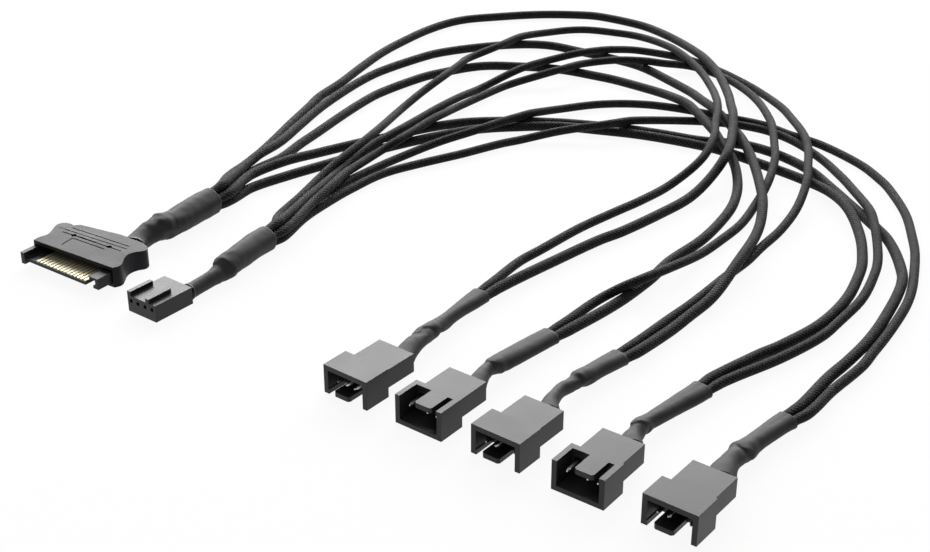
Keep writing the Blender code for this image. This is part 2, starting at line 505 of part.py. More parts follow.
def hood_mesh():
    """The moulded hood: its outline raised, edges rounded, top falling to the rear, pocket cut."""
    outline = bpy.data.curves.new("hood_outline", "CURVE")
    outline.dimensions = "2D"
    outline.fill_mode = "BOTH"
    outline.extrude = HOOD_HEIGHT / 2 * MM
    outline.resolution_u = 3
    spline = outline.splines.new("BEZIER")
    spline.bezier_points.add(len(HOOD_OUTLINE) - 1)
    for point, (x, y, corner) in zip(spline.bezier_points, HOOD_OUTLINE):
        point.co = (x * MM, y * MM, 0)
        point.handle_left_type = "VECTOR" if corner else "AUTO"
        point.handle_right_type = "VECTOR" if corner else "AUTO"
    spline.use_cyclic_u = True
    flat = bpy.data.objects.new("hood_outline", outline)
    PARTS.objects.link(flat)
    mesh = evaluated_mesh(flat, "hood_raised")
    hood = bpy.data.objects.new("hood", mesh)
    PARTS.objects.link(hood)
    shape = bmesh.new()
    shape.from_mesh(mesh)
    bmesh.ops.translate(shape, vec=(0, 0, HOOD_HEIGHT / 2 * MM), verts=shape.verts)
    shape.to_mesh(mesh)
    shape.free()
    soften_edges(hood, HOOD_BEVEL, 2)
    mesh = evaluated_mesh(hood, "hood_rounded")
    shape = bmesh.new()
    shape.from_mesh(mesh)
    fall = HOOD_REAR_DROP / (HOOD_REAR - HOOD_DROP_START)
    for vert in shape.verts:
        past = max(0.0, vert.co.y / MM - HOOD_DROP_START)
        if vert.co.z > HOOD_HEIGHT / 2 * MM:
            vert.co.z -= past * fall * MM
    shape.to_mesh(mesh)
    shape.free()
    hood = bpy.data.objects.new("hood", mesh)
    PARTS.objects.link(hood)
    front = hood_front()
    ceiling = HOOD_HEIGHT - HOOD_ROOF
    pocket = tool_block(
        "pocket", (-POCKET_LEFT, front - CUT_OVER, HOOD_FLOOR), (POCKET_RIGHT, front + POCKET_DEPTH, ceiling))
    roots = tool_block(
        "roots", (-ROOT_LEFT, front - CUT_OVER, HOOD_FLOOR), (ROOT_RIGHT, front + ROOT_DEPTH, ceiling))
    boolean(hood, pocket, "DIFFERENCE")
    boolean(hood, roots, "DIFFERENCE")
    return evaluated_mesh(hood, "power_plug_hood")


def hood_front():
    return min(y for x, y, corner in HOOD_OUTLINE)


def insulator_mesh():
    """Base, contact tongue with grooves, and the two guide arms beside it."""
    low = HOOD_FLOOR + SEAT_GAP
    high = HOOD_HEIGHT - HOOD_ROOF - SEAT_GAP
    ledge_top = high - LEDGE_DROP
    back = hood_front() + POCKET_DEPTH - SEAT_GAP
    root = hood_front() + ROOT_DEPTH - SEAT_GAP
    flange = root - FLANGE_DEPTH
    left = SEAT_GAP - ROOT_LEFT
    right = ROOT_RIGHT - SEAT_GAP
    rail = left + LEFT_ARM_WIDTH + RAIL_GAP
    groove_edge = (CONTACT_COUNT - 1) / 2 * CONTACT_PITCH + CONTACT_WIDTH / 2 + FIT_GAP
    tongue = block("insulator", (rail, -TONGUE_FRONT, TONGUE_TOP - TONGUE_THICKNESS),
                   (TONGUE_RIGHT, TONGUE_REACH + CUT_OVER, TONGUE_TOP), PARTS)
    depth = CONTACT_THICKNESS + FIT_GAP - CONTACT_STAND
    width = CONTACT_WIDTH + 2 * FIT_GAP
    for index, across in enumerate(contact_places()):
        groove = tool_block(
            f"groove_{index + 1}", (across - width / 2, -FIT_GAP, TONGUE_TOP - depth),
            (across + width / 2, TONGUE_REACH - SEAT_GAP, TONGUE_TOP + CUT_OVER))
        boolean(tongue, groove, "DIFFERENCE")
    pieces = [
        ("base", (SEAT_GAP - POCKET_LEFT, TONGUE_REACH, low), (POCKET_RIGHT - SEAT_GAP, back, high)),
        ("rail", (rail, 0, TONGUE_TOP - TONGUE_THICKNESS),
         (rail + RAIL_WIDTH, root, TONGUE_TOP + RAIL_HEIGHT)),
        ("left_arm", (left, -LEFT_ARM_TIP, low), (left + LEFT_ARM_WIDTH, root, high)),
        ("left_flange", (left, flange, low), (rail + RAIL_WIDTH, root, high)),
        ("right_wall", (right - RIGHT_ARM_WALL, RIGHT_ARM_SETBACK, low), (right, root, ledge_top)),
        ("right_ledge", (right - LEDGE_WIDTH, RIGHT_ARM_SETBACK, ledge_top - LEDGE_THICKNESS),
         (right, root, ledge_top)),
        ("right_foot", (right - FOOT_WIDTH, RIGHT_ARM_SETBACK, low), (right, root, low + FOOT_THICKNESS)),
        ("right_flange", ((groove_edge + TONGUE_RIGHT) / 2, flange, low), (right, root, ledge_top)),
    ]
    for name, start, end in pieces:
        boolean(tongue, tool_block(name, start, end), "UNION")
    return evaluated_mesh(tongue, "power_plug_insulator")


def contact_places():
    return [(index - (CONTACT_COUNT - 1) / 2) * CONTACT_PITCH for index in range(CONTACT_COUNT)]


def contact_mesh():
    """One flat contact along y, with its front edge sloped down."""
    low = TONGUE_TOP + CONTACT_STAND - CONTACT_THICKNESS
    strip = block("contact", (-CONTACT_WIDTH / 2, 0, low),
                  (CONTACT_WIDTH / 2, TONGUE_REACH - SEAT_GAP - FIT_GAP, low + CONTACT_THICKNESS), PARTS)
    shape = bmesh.new()
    shape.from_mesh(strip.data)
    nose = [edge for edge in shape.edges
            if all(v.co.y < 0.001 * MM and v.co.z > (low + CONTACT_THICKNESS / 2) * MM for v in edge.verts)]
    bmesh.ops.bevel(shape, geom=nose, offset=CONTACT_NOSE * MM, affect="EDGES",
                    segments=2, profile=0.5, material=-1)
    shape.to_mesh(strip.data)
    shape.free()
    return evaluated_mesh(strip, "power_contact")


def build_power_plug():
    matrix = place_matrix(HOOD_PLACE, HOOD_TURN)
    add_object("power_plug_hood", hood_mesh(), PLASTIC, matrix)
    add_object("power_plug_insulator", insulator_mesh(), DARK_PLASTIC, matrix)
    contact = contact_mesh()
    for index, across in enumerate(contact_places()):
        spot = Matrix.Translation((across * MM, 0, 0))
        add_object(f"power_contact_{index + 1:02d}", contact, GOLD, matrix @ spot)


def smooth_through(points, steps):
    """Points on a smooth curve through the given ones, with tangents along their neighbours."""
    points = [Vector(point) for point in points]
    tangents = []
    for index in range(len(points)):
        before = points[max(index - 1, 0)]
        after = points[min(index + 1, len(points) - 1)]
        tangents.append((after - before).normalized())
    curve = [points[0]]
    for index in range(len(points) - 1):
        reach = (points[index + 1] - points[index]).length / 3
        piece = interpolate_bezier(
            points[index], points[index] + tangents[index] * reach,
            points[index + 1] - tangents[index + 1] * reach, points[index + 1], steps + 1)
        curve.extend(piece[1:])
    return curve


def sleeve_axis(rear, turn, stations):
    """World stations of a shrink tube: axis point, half width and half height."""
    frame = Matrix.Rotation(math.radians(turn), 3, "Z")
    placed = []
    for across, back, level, half_width, half_height in stations:
        point = frame @ Vector((across, back, 0)) + Vector((rear[0], rear[1], 0))
        placed.append((Vector((point.x, point.y, level)), half_width, half_height))
    return placed


def housing_rear(place, turn, length):
    frame = Matrix.Rotation(math.radians(turn), 3, "Z")
    point = frame @ Vector((0, length, 0))
    return (place[0] + point.x, place[1] + point.y)


def sleeve_end(stations):
    """Middle and direction of a shrink tube's open end, level with the surface."""
    end = stations[-1][0]
    direction = end - stations[-2][0]
    direction.z = 0
    return end, direction.normalized()


def build_sleeve(name, stations):
    """A shrink tube: oval sections lofted along its axis and closed at both ends."""
    axis = smooth_through([point for point, wide, tall in stations], SLEEVE_STEPS)
    sizes = smooth_through([Vector((wide, tall, 0)) for point, wide, tall in stations], SLEEVE_STEPS)
    shape = bmesh.new()
    rings = []
    for index, (middle, size) in enumerate(zip(axis, sizes)):
        ahead = axis[min(index + 1, len(axis) - 1)] - axis[max(index - 1, 0)]
        ahead.z = 0
        if index == 0:
            ahead = Vector((0, 1, 0))
        side = Vector((ahead.y, -ahead.x, 0)).normalized()
        ring = []
        for step in range(SLEEVE_SIDES):
            angle = 2 * math.pi * step / SLEEVE_SIDES
            offset = side * (math.cos(angle) * size.x) + Vector((0, 0, math.sin(angle) * size.y))
            ring.append(shape.verts.new((middle + offset) * MM))
        rings.append(ring)
    for ring, following in zip(rings, rings[1:]):
        for step in range(SLEEVE_SIDES):
            other = (step + 1) % SLEEVE_SIDES
            shape.faces.new((ring[step], ring[other], following[other], following[step]))
    shape.faces.new(rings[0])
    shape.faces.new(rings[-1])
    bmesh.ops.recalc_face_normals(shape, faces=shape.faces)
    mesh = bpy.data.meshes.new(name)
    shape.to_mesh(mesh)
    shape.free()
    mesh.shade_smooth()
    mesh.set_sharp_from_angle(angle=math.radians(50))
    return add_object(name, mesh, SHRINK)


def lead_ends():
    """Start and end of every lead at the shrink tubes: middle of the lead's face, and direction."""
    ends = {}
    groups = [
        ("power_lead", POWER_LEAD, POWER_RING,
         housing_rear(HOOD_PLACE, HOOD_TURN, HOOD_REAR), HOOD_TURN, HOOD_SLEEVE),
        ("signal_lead", SIGNAL_LEAD, SIGNAL_RING, housing_rear(SOCKET_PLACE, SOCKET_TURN, SOCKET_LENGTH),
         SOCKET_TURN, SOCKET_SLEEVE),
    ]
    for prefix, width, ring, rear, turn, stations in groups:
        end, ahead = sleeve_end(sleeve_axis(rear, turn, stations))
        side = Vector((ahead.y, -ahead.x, 0))
        reach = (width + LEAD_GAP) / 2 / math.sin(math.pi / len(ring))
        for number, angle in ring.items():
            turned = math.radians(angle)
            offset = side * (math.cos(turned) * reach) + Vector((0, 0, math.sin(turned) * reach))
            ends[f"{prefix}_{number}"] = [(end + offset + ahead * SEAT_GAP, ahead)]
    for name, (left, right) in PLUG_LEADS.items():
        plug = PLUGS[name]
        rear = housing_rear(plug["place"], plug["turn"], MOUTH_LENGTH + BODY_LENGTH)
        end, ahead = sleeve_end(sleeve_axis(rear, plug["turn"], PLUG_SLEEVES[name]))
        side = Vector((ahead.y, -ahead.x, 0))
        apart = (POWER_LEAD + SIGNAL_LEAD) / 2 + LEAD_GAP
        ends[right].append((end + side * (apart / 2) + ahead * SEAT_GAP, ahead))
        ends[left].append((end - side * (apart / 2) + ahead * SEAT_GAP, ahead))
    return ends


def lead_width(name):
    return POWER_LEAD if name.startswith("power") else SIGNAL_LEAD


def evenly_spaced(points, spacing):
    """The same line as an array of points about the given distance apart."""
    points = np.array([tuple(point) for point in points])
    lengths = np.linalg.norm(np.diff(points, axis=0), axis=1)
    along = np.concatenate([[0.0], np.cumsum(lengths)])
    count = max(2, int(round(along[-1] / spacing)) + 1)
    marks = np.linspace(0.0, along[-1], count)
    return np.stack([np.interp(marks, along, points[:, axis]) for axis in range(3)], axis=1)


def lead_line(name, ends):
    """The chosen route of a lead, from its shrink tube to its plug, before leads are spread."""
    (start, ahead), (finish, back) = ends[name]
    level = lead_width(name) / 2 + LEAD_LIFT
    layer = POWER_LEAD + LEAD_GAP
    route = [Vector((x, y, level + layer * over)) for x, y, over in ROUTES[name]]
    points = [start, start + ahead * END_RUN, *route, finish + back * END_RUN, finish]
    return evenly_spaced(smooth_through(points, LEAD_STEPS), FINE_SPACING)


def eased(shift):
    """Shifts along a lead, each drawn to the mean of its neighbours."""
    mean = shift.copy()
    mean[1:-1] = (shift[:-2] + 2 * shift[1:-1] + shift[2:]) / 4
    return mean


def wanted_distance(first, second):
    return (lead_width(first) + lead_width(second)) / 2 + LEAD_GAP + CHORD_ALLOWANCE


def close_pairs(spots):
    """Points of different leads that are near enough to touch within the next few rounds."""
    names = list(spots)
    pairs = []
    for index, first in enumerate(names):
        for second in names[index + 1:]:
            apart = spots[first][:, None, :] - spots[second][None, :, :]
            distance = np.linalg.norm(apart, axis=2)
            rows, columns = np.nonzero(distance < wanted_distance(first, second) + PAIR_MARGIN)
            if len(rows):
                pairs.append((first, second, rows, columns))
    return pairs


def end_hold(count):
    """How freely each point of a lead may move: not at all at its two ends."""
    from_end = np.minimum(np.arange(count), np.arange(count)[::-1])
    return np.clip(from_end / HELD_POINTS, 0.0, 1.0)[:, None]


def spread_leads(lines):
    """Moves leads that touch apart, each by half of what is missing, and keeps them off the surface."""
    starts = {name: line.copy() for name, line in lines.items()}
    spots = {name: line.copy() for name, line in lines.items()}
    free = {name: end_hold(len(line)) for name, line in lines.items()}
    pairs = []
    for turn in range(SPREAD_ROUNDS):
        if turn % ROUNDS_PER_PAIRING == 0:
            pairs = close_pairs(spots)
        moves = {name: np.zeros_like(line) for name, line in lines.items()}
        counts = {name: np.ones((len(line), 1)) for name, line in lines.items()}
        for first, second, rows, columns in pairs:
            apart = spots[first][rows] - spots[second][columns]
            distance = np.linalg.norm(apart, axis=1)[:, None]
            missing = np.maximum(wanted_distance(first, second) - distance, 0.0)
            push = apart / np.maximum(distance, 0.01) * missing / 2
            np.add.at(moves[first], rows, push)
            np.add.at(moves[second], columns, -push)
            np.add.at(counts[first], rows, missing > 0)
            np.add.at(counts[second], columns, missing > 0)
        for name in lines:
            push = moves[name] / np.maximum(counts[name] - 1, 1)
            shift = eased(eased(spots[name] - starts[name] + push * free[name])) * free[name]
            spots[name] = starts[name] + shift
            spots[name][:, 2] = np.maximum(spots[name][:, 2], lead_width(name) / 2 + LEAD_LIFT)
    return spots


def lead_spacing(line):
    length = np.linalg.norm(np.diff(line, axis=0), axis=1).sum()
    return max(LEAD_SPACING, length / (LEAD_POINTS - 1))


def build_lead(name, line):
    """A lead as a round tube on a line of points, with closed ends."""
    points = evenly_spaced(line, lead_spacing(line))
    curve = bpy.data.curves.new(name, "CURVE")
    curve.dimensions = "3D"
    curve.bevel_depth = lead_width(name) / 2 * MM
    curve.bevel_resolution = 2
    curve.use_fill_caps = True
    spline = curve.splines.new("POLY")
    spline.points.add(len(points) - 1)
    for spot, point in zip(spline.points, points):
        spot.co = (*(point * MM), 1.0)
    curve.materials.append(BRAID)
    lead = bpy.data.objects.new(name, curve)
    PARTS.objects.link(lead)


def build_sleeves():
    rear = housing_rear(HOOD_PLACE, HOOD_TURN, HOOD_REAR)
    build_sleeve("power_plug_shrink", sleeve_axis(rear, HOOD_TURN, HOOD_SLEEVE))
    rear = housing_rear(SOCKET_PLACE, SOCKET_TURN, SOCKET_LENGTH)
    build_sleeve("control_socket_shrink", sleeve_axis(rear, SOCKET_TURN, SOCKET_SLEEVE))
    for name, plug in PLUGS.items():
        rear = housing_rear(plug["place"], plug["turn"], MOUTH_LENGTH + BODY_LENGTH)
        build_sleeve(f"{name}_shrink", sleeve_axis(rear, plug["turn"], PLUG_SLEEVES[name]))


def build_leads():
    ends = lead_ends()
    lines = {name: lead_line(name, ends) for name in ROUTES}
    for name, line in spread_leads(lines).items():
        build_lead(name, line)


clear_scene()
PARTS = make_collection("fan_splitter_cable")
CUTTERS = make_collection("cutters")
PLASTIC = material("black_plastic", (0.045, 0.045, 0.05), 0.42)
DARK_PLASTIC = material("dark_plastic", (0.02, 0.02, 0.022), 0.5)
SHRINK = material("shrink_tube", (0.035, 0.035, 0.038), 0.38)
BRAID = material("braided_sleeve", (0.02, 0.02, 0.022), 0.7)
TIN = material("tinned_metal", (0.75, 0.73, 0.7), 0.3, 1.0)
GOLD = material("gold_contact", (0.85, 0.74, 0.48), 0.35, 1.0)

build_power_plug()
build_socket()
build_fan_plugs()
build_sleeves()
build_leads()
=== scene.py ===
# %% [markdown]
# A fan splitter cable on a pale floor. The solid model gives every housing, pin and
# contact at its real size. This lesson dresses them: braided sleeves on the leads,
# heat-shrink tubes with their wrinkles, moulded plastic and plated metal, then the
# light and the camera.

# %% Load the fixed frame
import math

import bmesh
import bpy
import numpy as np
from mathutils import Matrix, Vector, noise
from mathutils.geometry import interpolate_bezier


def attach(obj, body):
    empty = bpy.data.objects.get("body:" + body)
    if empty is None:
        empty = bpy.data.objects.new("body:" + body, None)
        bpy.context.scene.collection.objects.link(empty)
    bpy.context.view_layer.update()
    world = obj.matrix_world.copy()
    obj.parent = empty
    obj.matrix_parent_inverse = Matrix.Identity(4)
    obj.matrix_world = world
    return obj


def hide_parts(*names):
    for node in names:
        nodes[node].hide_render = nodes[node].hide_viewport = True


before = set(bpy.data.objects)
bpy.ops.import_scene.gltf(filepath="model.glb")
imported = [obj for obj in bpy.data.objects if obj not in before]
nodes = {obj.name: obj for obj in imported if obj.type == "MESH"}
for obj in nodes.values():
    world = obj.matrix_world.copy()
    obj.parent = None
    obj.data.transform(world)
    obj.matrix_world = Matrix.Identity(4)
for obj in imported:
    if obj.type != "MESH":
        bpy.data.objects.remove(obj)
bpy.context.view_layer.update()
MM = 0.001
BODY = "root"
print("frame:", len(nodes), "nodes")

# %% [markdown]
# The camera comes first, because every later choice is judged through it. The row of
# plugs is seen from the front right and from above. The focal length and the place
# were worked out from where the plugs' edges and the leads fall in the picture.

# %% Camera
PICTURE_WIDTH = 930      # pixels
FOCAL_PIXELS = 1621.5
SENSOR = 36.0            # millimetres
CAMERA_PLACE = (0.2240, -0.2586, 0.2009)
CAMERA_DOWN = 28.25      # degrees below level
CAMERA_TURN = 37.5       # degrees to the left of straight ahead
NEAR_CLIP = 0.01


def put_in_scene(name, data):
    """A new object for a camera, a lamp or a mesh, linked into the scene."""
    thing = bpy.data.objects.new(name, data)
    bpy.context.scene.collection.objects.link(thing)
    return thing


lens = bpy.data.cameras.new("camera")
lens.sensor_width = SENSOR
lens.lens = FOCAL_PIXELS / PICTURE_WIDTH * SENSOR
lens.clip_start = NEAR_CLIP
camera = put_in_scene("camera", lens)
camera.location = CAMERA_PLACE
camera.rotation_euler = (math.radians(90 - CAMERA_DOWN), 0, math.radians(CAMERA_TURN))
bpy.context.scene.camera = camera
bpy.context.scene.view_settings.view_transform = "Standard"
print("camera: lens", round(lens.lens, 1), "mm")

# %% [markdown]
# The ten leads are ordinary round cable in a braided sleeve. Each one has a route of
# given points from shrink tube to plug, with the number of leads that it passes over. A
# smooth curve runs through them, and leads that would touch are then moved apart, so
# that they lie beside and over each other as real ones do.

# %% Routes of the leads, in millimetres: x, y, and how many leads lie underneath
ROUTES = {
    "power_lead_1": [
        (-94, 42.5, 0), (-96.5, 53.5, 0), (-101, 67, 0), (-106.5, 81.5, 0), (-112, 97, 0),
        (-115, 105, 0), (-117.5, 118, 0), (-121.5, 133, 0), (-125, 148, 0), (-126.5, 160.5, 0),
        (-127, 178.5, 0), (-124, 192.5, 0), (-115, 204.5, 0), (-104.5, 215.5, 0), (-92.5, 224, 0),
        (-85.5, 227, 0), (-69, 228, 0), (-58.5, 225, 0.1), (-46.5, 219, 0.3), (-33, 209, 0.8),
        (-25.5, 202.5, 1), (-18, 195.5, 1), (-6, 180.5, 1.2), (0.5, 170.5, 1.6), (6, 162, 1.9),
        (13, 149, 1.8), (19.5, 134, 1.9), (20.5, 123.5, 0.8), (20.5, 112, 0.1), (19, 98, 0),
        (16.5, 82, 0), (14.5, 74.5, 0), (12, 59, 0),
    ],
    "power_lead_2": [
        (-92.5, 49.5, 0.4), (-94.5, 56, 0.5), (-98, 68.5, 0.3), (-103.5, 83, 0.1), (-108.5, 98, 0),
        (-111.5, 111.5, 0), (-113.5, 124, 0), (-114, 135, 0), (-111.5, 153, 0), (-109, 161.5, 0),
        (-101.5, 174, 0), (-92, 185, 0), (-83, 190.5, 0), (-71, 192, 0), (-59, 193, 0),
        (-46.5, 192.5, 0), (-31.5, 187, 0), (-20, 181, 0.2), (-14, 176.5, 0.4), (0, 165, 1),
        (11.5, 155.5, 0.8), (17.5, 149, 1), (26, 139, 0.9), (36.5, 124, 1), (41.5, 116, 0.9),
        (47, 104, 0.4), (51, 90, 0.1), (53, 77, 0), (55, 63.5, 0), (55, 53, 0),
        (55, 44, 0),
    ],
    "power_lead_3": [
        (-91.5, 48.5, 0), (-91.5, 61.5, 0), (-94, 73, 0), (-96, 84, 0), (-98.5, 96.5, 0),
        (-100.5, 108.5, 0), (-101.5, 119.5, 0), (-99.5, 138, 0), (-97, 146, 0), (-90, 159.5, 0),
        (-79, 167.5, 0), (-66.5, 173.5, 0), (-52, 176, 0), (-44.5, 176.5, 0), (-27.5, 174, 0.2),
        (-17, 169, 0.6), (-11, 165.5, 0.8), (4, 153.5, 0.8), (10, 147, 1), (20, 137.5, 0.8),
        (27.5, 127, 0.3), (32.5, 115.5, 0.1), (35, 104, 0), (36.5, 90.5, 0), (36, 75, 0),
        (37, 64, 0), (37, 49.5, 0), (36.5, 41, 0),
    ],
    "power_lead_4": [
        (-87, 44, 0.6), (-86.5, 58, 0.5), (-84.5, 71, 0.1), (-80, 84.5, 0), (-77, 91, 0),
        (-72, 104, 0), (-65, 116, 0), (-56, 124.5, 0), (-45.5, 131.5, 0), (-34, 137.5, 0),
        (-23, 142.5, 0), (-10.5, 146.5, 0), (2, 149.5, 0), (14.5, 155, 0), (26.5, 154.5, 0),
        (39, 150, 0), (48.5, 143.5, 0), (58, 136.5, 0), (68, 129, 0), (77.5, 121, 0),
        (88.5, 106, 0), (91.5, 98.5, 0), (95, 81.5, 0), (96.5, 70, 0), (96.5, 57, 0),
        (96, 47.5, 0),
    ],
    "power_lead_5": [
        (-84, 40.5, 0), (-81, 54, 0), (-77.5, 66, 0), (-74, 78, 0), (-69.5, 91, 0),
        (-64, 104, 0), (-57.5, 115.5, 0), (-48.5, 125, 0), (-39, 133, 0), (-27.5, 138, 0),
        (-15.5, 142.5, 0), (-2.5, 145.5, 0), (10.5, 147, 0), (25, 145.5, 0), (39.5, 143, 0.1),
        (51, 138, 0.4), (60.5, 130, 0.6), (70, 118, 0.3), (76.5, 106, 0.1), (79, 99, 0),
        (82.5, 84, 0), (83, 69, 0), (80, 53.5, 0), (78, 47, 0),
    ],
    "signal_lead_1": [
        (-64.5, 32.5, 0), (-68, 44.5, 0), (-71.5, 57, 0.1), (-73.5, 73, 0.8), (-76, 85, 1),
        (-79, 93.5, 0.8), (-86, 111, 0.2), (-88.5, 124.5, 0.5), (-89, 136, 1), (-92, 150.5, 0.8),
        (-94, 158.5, 0.6), (-91.5, 172.5, 1), (-92, 185, 0.7), (-91, 196, 0.3), (-83.5, 211, 0),
        (-70, 216.5, 0), (-62, 217, 0.1), (-51.5, 213.5, 0.4), (-39, 205.5, 0.9), (-25, 195, 1),
        (-14, 183.5, 1.1), (-7, 174, 1.5), (0, 163, 1.9), (5.5, 152, 1.9), (11, 141, 2),
        (13.5, 129.5, 1.3), (11.5, 115.5, 0.1), (10, 102, 0), (8.5, 93.5, 0), (6, 77.5, 0),
        (5, 60, 0), (4.5, 51, 0),
    ],
    "signal_lead_2": [
        (-62, 40.5, 0.5), (-69.5, 59.5, 0.1), (-71.5, 66, 0.1), (-72.5, 80.5, 0.6), (-72.5, 95, 0.9),
        (-73.5, 106, 0.9), (-74.5, 117, 0.9), (-76.5, 130.5, 0.5), (-77.5, 142.5, 0.1), (-73.5, 159.5, 0.9),
        (-70.5, 173, 0.7), (-65, 183, 1), (-58.5, 198.5, 0.4), (-54, 204.5, 0.1), (-40.5, 208.5, 0),
        (-27.5, 206.5, 0), (-12.5, 201, 0), (-3, 196.5, 0), (9.5, 187.5, 0.3), (16.5, 180.5, 0.5),
        (28, 167, 1), (34, 158, 1), (40.5, 145, 1), (44.5, 136.5, 1), (48.5, 123, 0.4),
        (50.5, 109.5, 0.1), (51, 97, 0), (52, 87.5, 0), (52.5, 70.5, 0), (52.5, 58, 0),
        (52, 48.5, 0),
    ],
    "signal_lead_3": [
        (-59, 39, 0.8), (-61.5, 50.5, 0.9), (-66, 64, 0.4), (-68.5, 80.5, 0.5), (-67.5, 89, 1),
        (-69.5, 106, 0.9), (-70.5, 112.5, 0.7), (-72.5, 125, 0.3), (-72.5, 147, 0.1), (-70, 154.5, 0.3),
        (-62, 166.5, 1), (-59, 180, 0.6), (-50.5, 185.5, 1), (-40.5, 195.5, 0.4), (-32.5, 202.5, 0.1),
        (-20.5, 202, 0), (-10.5, 197, 0.1), (1.5, 186.5, 0.5), (12.5, 173.5, 0.9), (17.5, 166.5, 1),
        (26, 152, 1), (29.5, 145.5, 1), (34, 133.5, 0.7), (37, 121, 0.2), (40, 106.5, 0),
        (40.5, 94, 0), (40.5, 83.5, 0.1), (40, 68.5, 0.7), (38.5, 56.5, 0.9), (33.5, 45.5, 0.1),
    ],
    "signal_lead_4": [
        (-61, 32.5, 0), (-63.5, 48, 0), (-65, 58, 0), (-65, 67.5, 0), (-63.5, 84, 0),
        (-60, 99, 0.3), (-53, 110, 1), (-51, 117.5, 1), (-48.5, 130, 0.6), (-46, 143, 0.1),
        (-39, 155.5, 0), (-28.5, 164, 0), (-16.5, 168.5, 0), (-3, 170.5, 0), (10.5, 172.5, 0),
        (21.5, 170.5, 0), (32.5, 169.5, 0), (48.5, 163.5, 0), (58, 157, 0), (63, 152.5, 0),
        (73.5, 140, 0), (81.5, 126.5, 0), (85.5, 118.5, 0), (90.5, 105, 0), (94, 94, 0),
        (96, 83, 0), (98, 65.5, 0), (99, 57, 0), (98.5, 42.5, 0),
    ],
    "signal_lead_5": [
        (-58.5, 36, 0), (-60, 48.5, 0), (-60.5, 57.5, 0), (-60, 72, 0), (-56, 84, 0),
        (-50.5, 97, 0), (-45.5, 110.5, 0), (-42.5, 116.5, 0), (-34.5, 127, 0.5), (-23, 137.5, 1),
        (-19, 148, 0.5), (-11, 159.5, 0), (-0.5, 166, 0), (12, 169.5, 0), (23, 168, 0),
        (37, 160.5, 0), (48, 151.5, 0.1), (53.5, 146, 0.2), (66, 131.5, 0.6), (71.5, 123.5, 0.6),
        (78.5, 111, 0.3), (81.5, 103.5, 0.1), (85, 88, 0), (85.5, 74, 0), (85.5, 64, 0),
        (82.5, 49, 0),
    ],
}
print("routes:", len(ROUTES))

# %% [markdown]
# The housings stand where the solid model has them. Their places and turns are repeated
# here because every heat-shrink tube starts at the rear of one, and every lead at the end
# of a tube. A tube is given by stations along it, each with a width and a height of its
# own, because a heated sleeve closes in on whatever lies inside it.

# %% Sizes and places of plugs and leads, in millimetres
SEAT_GAP = 0.3           # from the end of a tube to the start of its leads
LEAD_GAP = 0.08          # real leads lie almost against each other
POWER_LEAD = 2.9         # over the braid, which stands a little proud of the solid leads
SIGNAL_LEAD = 2.55
SQUEEZE = 0.88           # a shrink tube holds its leads this much tighter
LEAD_LIFT = 0.05         # from the floor to the underside of a lead
PLUG_LENGTH = 18.1
SOCKET_LENGTH = 12.5
HOOD_REAR = 20.9
PLUGS = {
    "fan_plug_1": {"place": (11.6, -26.7), "turn": -1.0, "leads": ("signal_lead_1", "power_lead_1")},
    "fan_plug_2": {"place": (32.7, -26.4), "turn": -0.2, "leads": ("signal_lead_3", "power_lead_3")},
    "fan_plug_3": {"place": (53.3, -25.6), "turn": -0.5, "leads": ("signal_lead_2", "power_lead_2")},
    "fan_plug_4": {"place": (74.8, -25.9), "turn": 1.0, "leads": ("power_lead_5", "signal_lead_5")},
    "fan_plug_5": {"place": (96.1, -24.6), "turn": -0.1, "leads": ("power_lead_4", "signal_lead_4")},
}
SOCKET_PLACE = (-54.5, -28.1)
SOCKET_TURN = -0.5
HOOD_PLACE = (-85.4, -27.9)
HOOD_TURN = 1.5
POWER_RING = {1: 162.0, 2: 90.0, 3: 234.0, 4: 18.0, 5: 306.0}   # degrees round the tube's end
SIGNAL_RING = {1: 162.0, 2: 90.0, 3: 18.0, 4: 234.0, 5: 306.0}
print("fan plugs:", len(PLUGS))

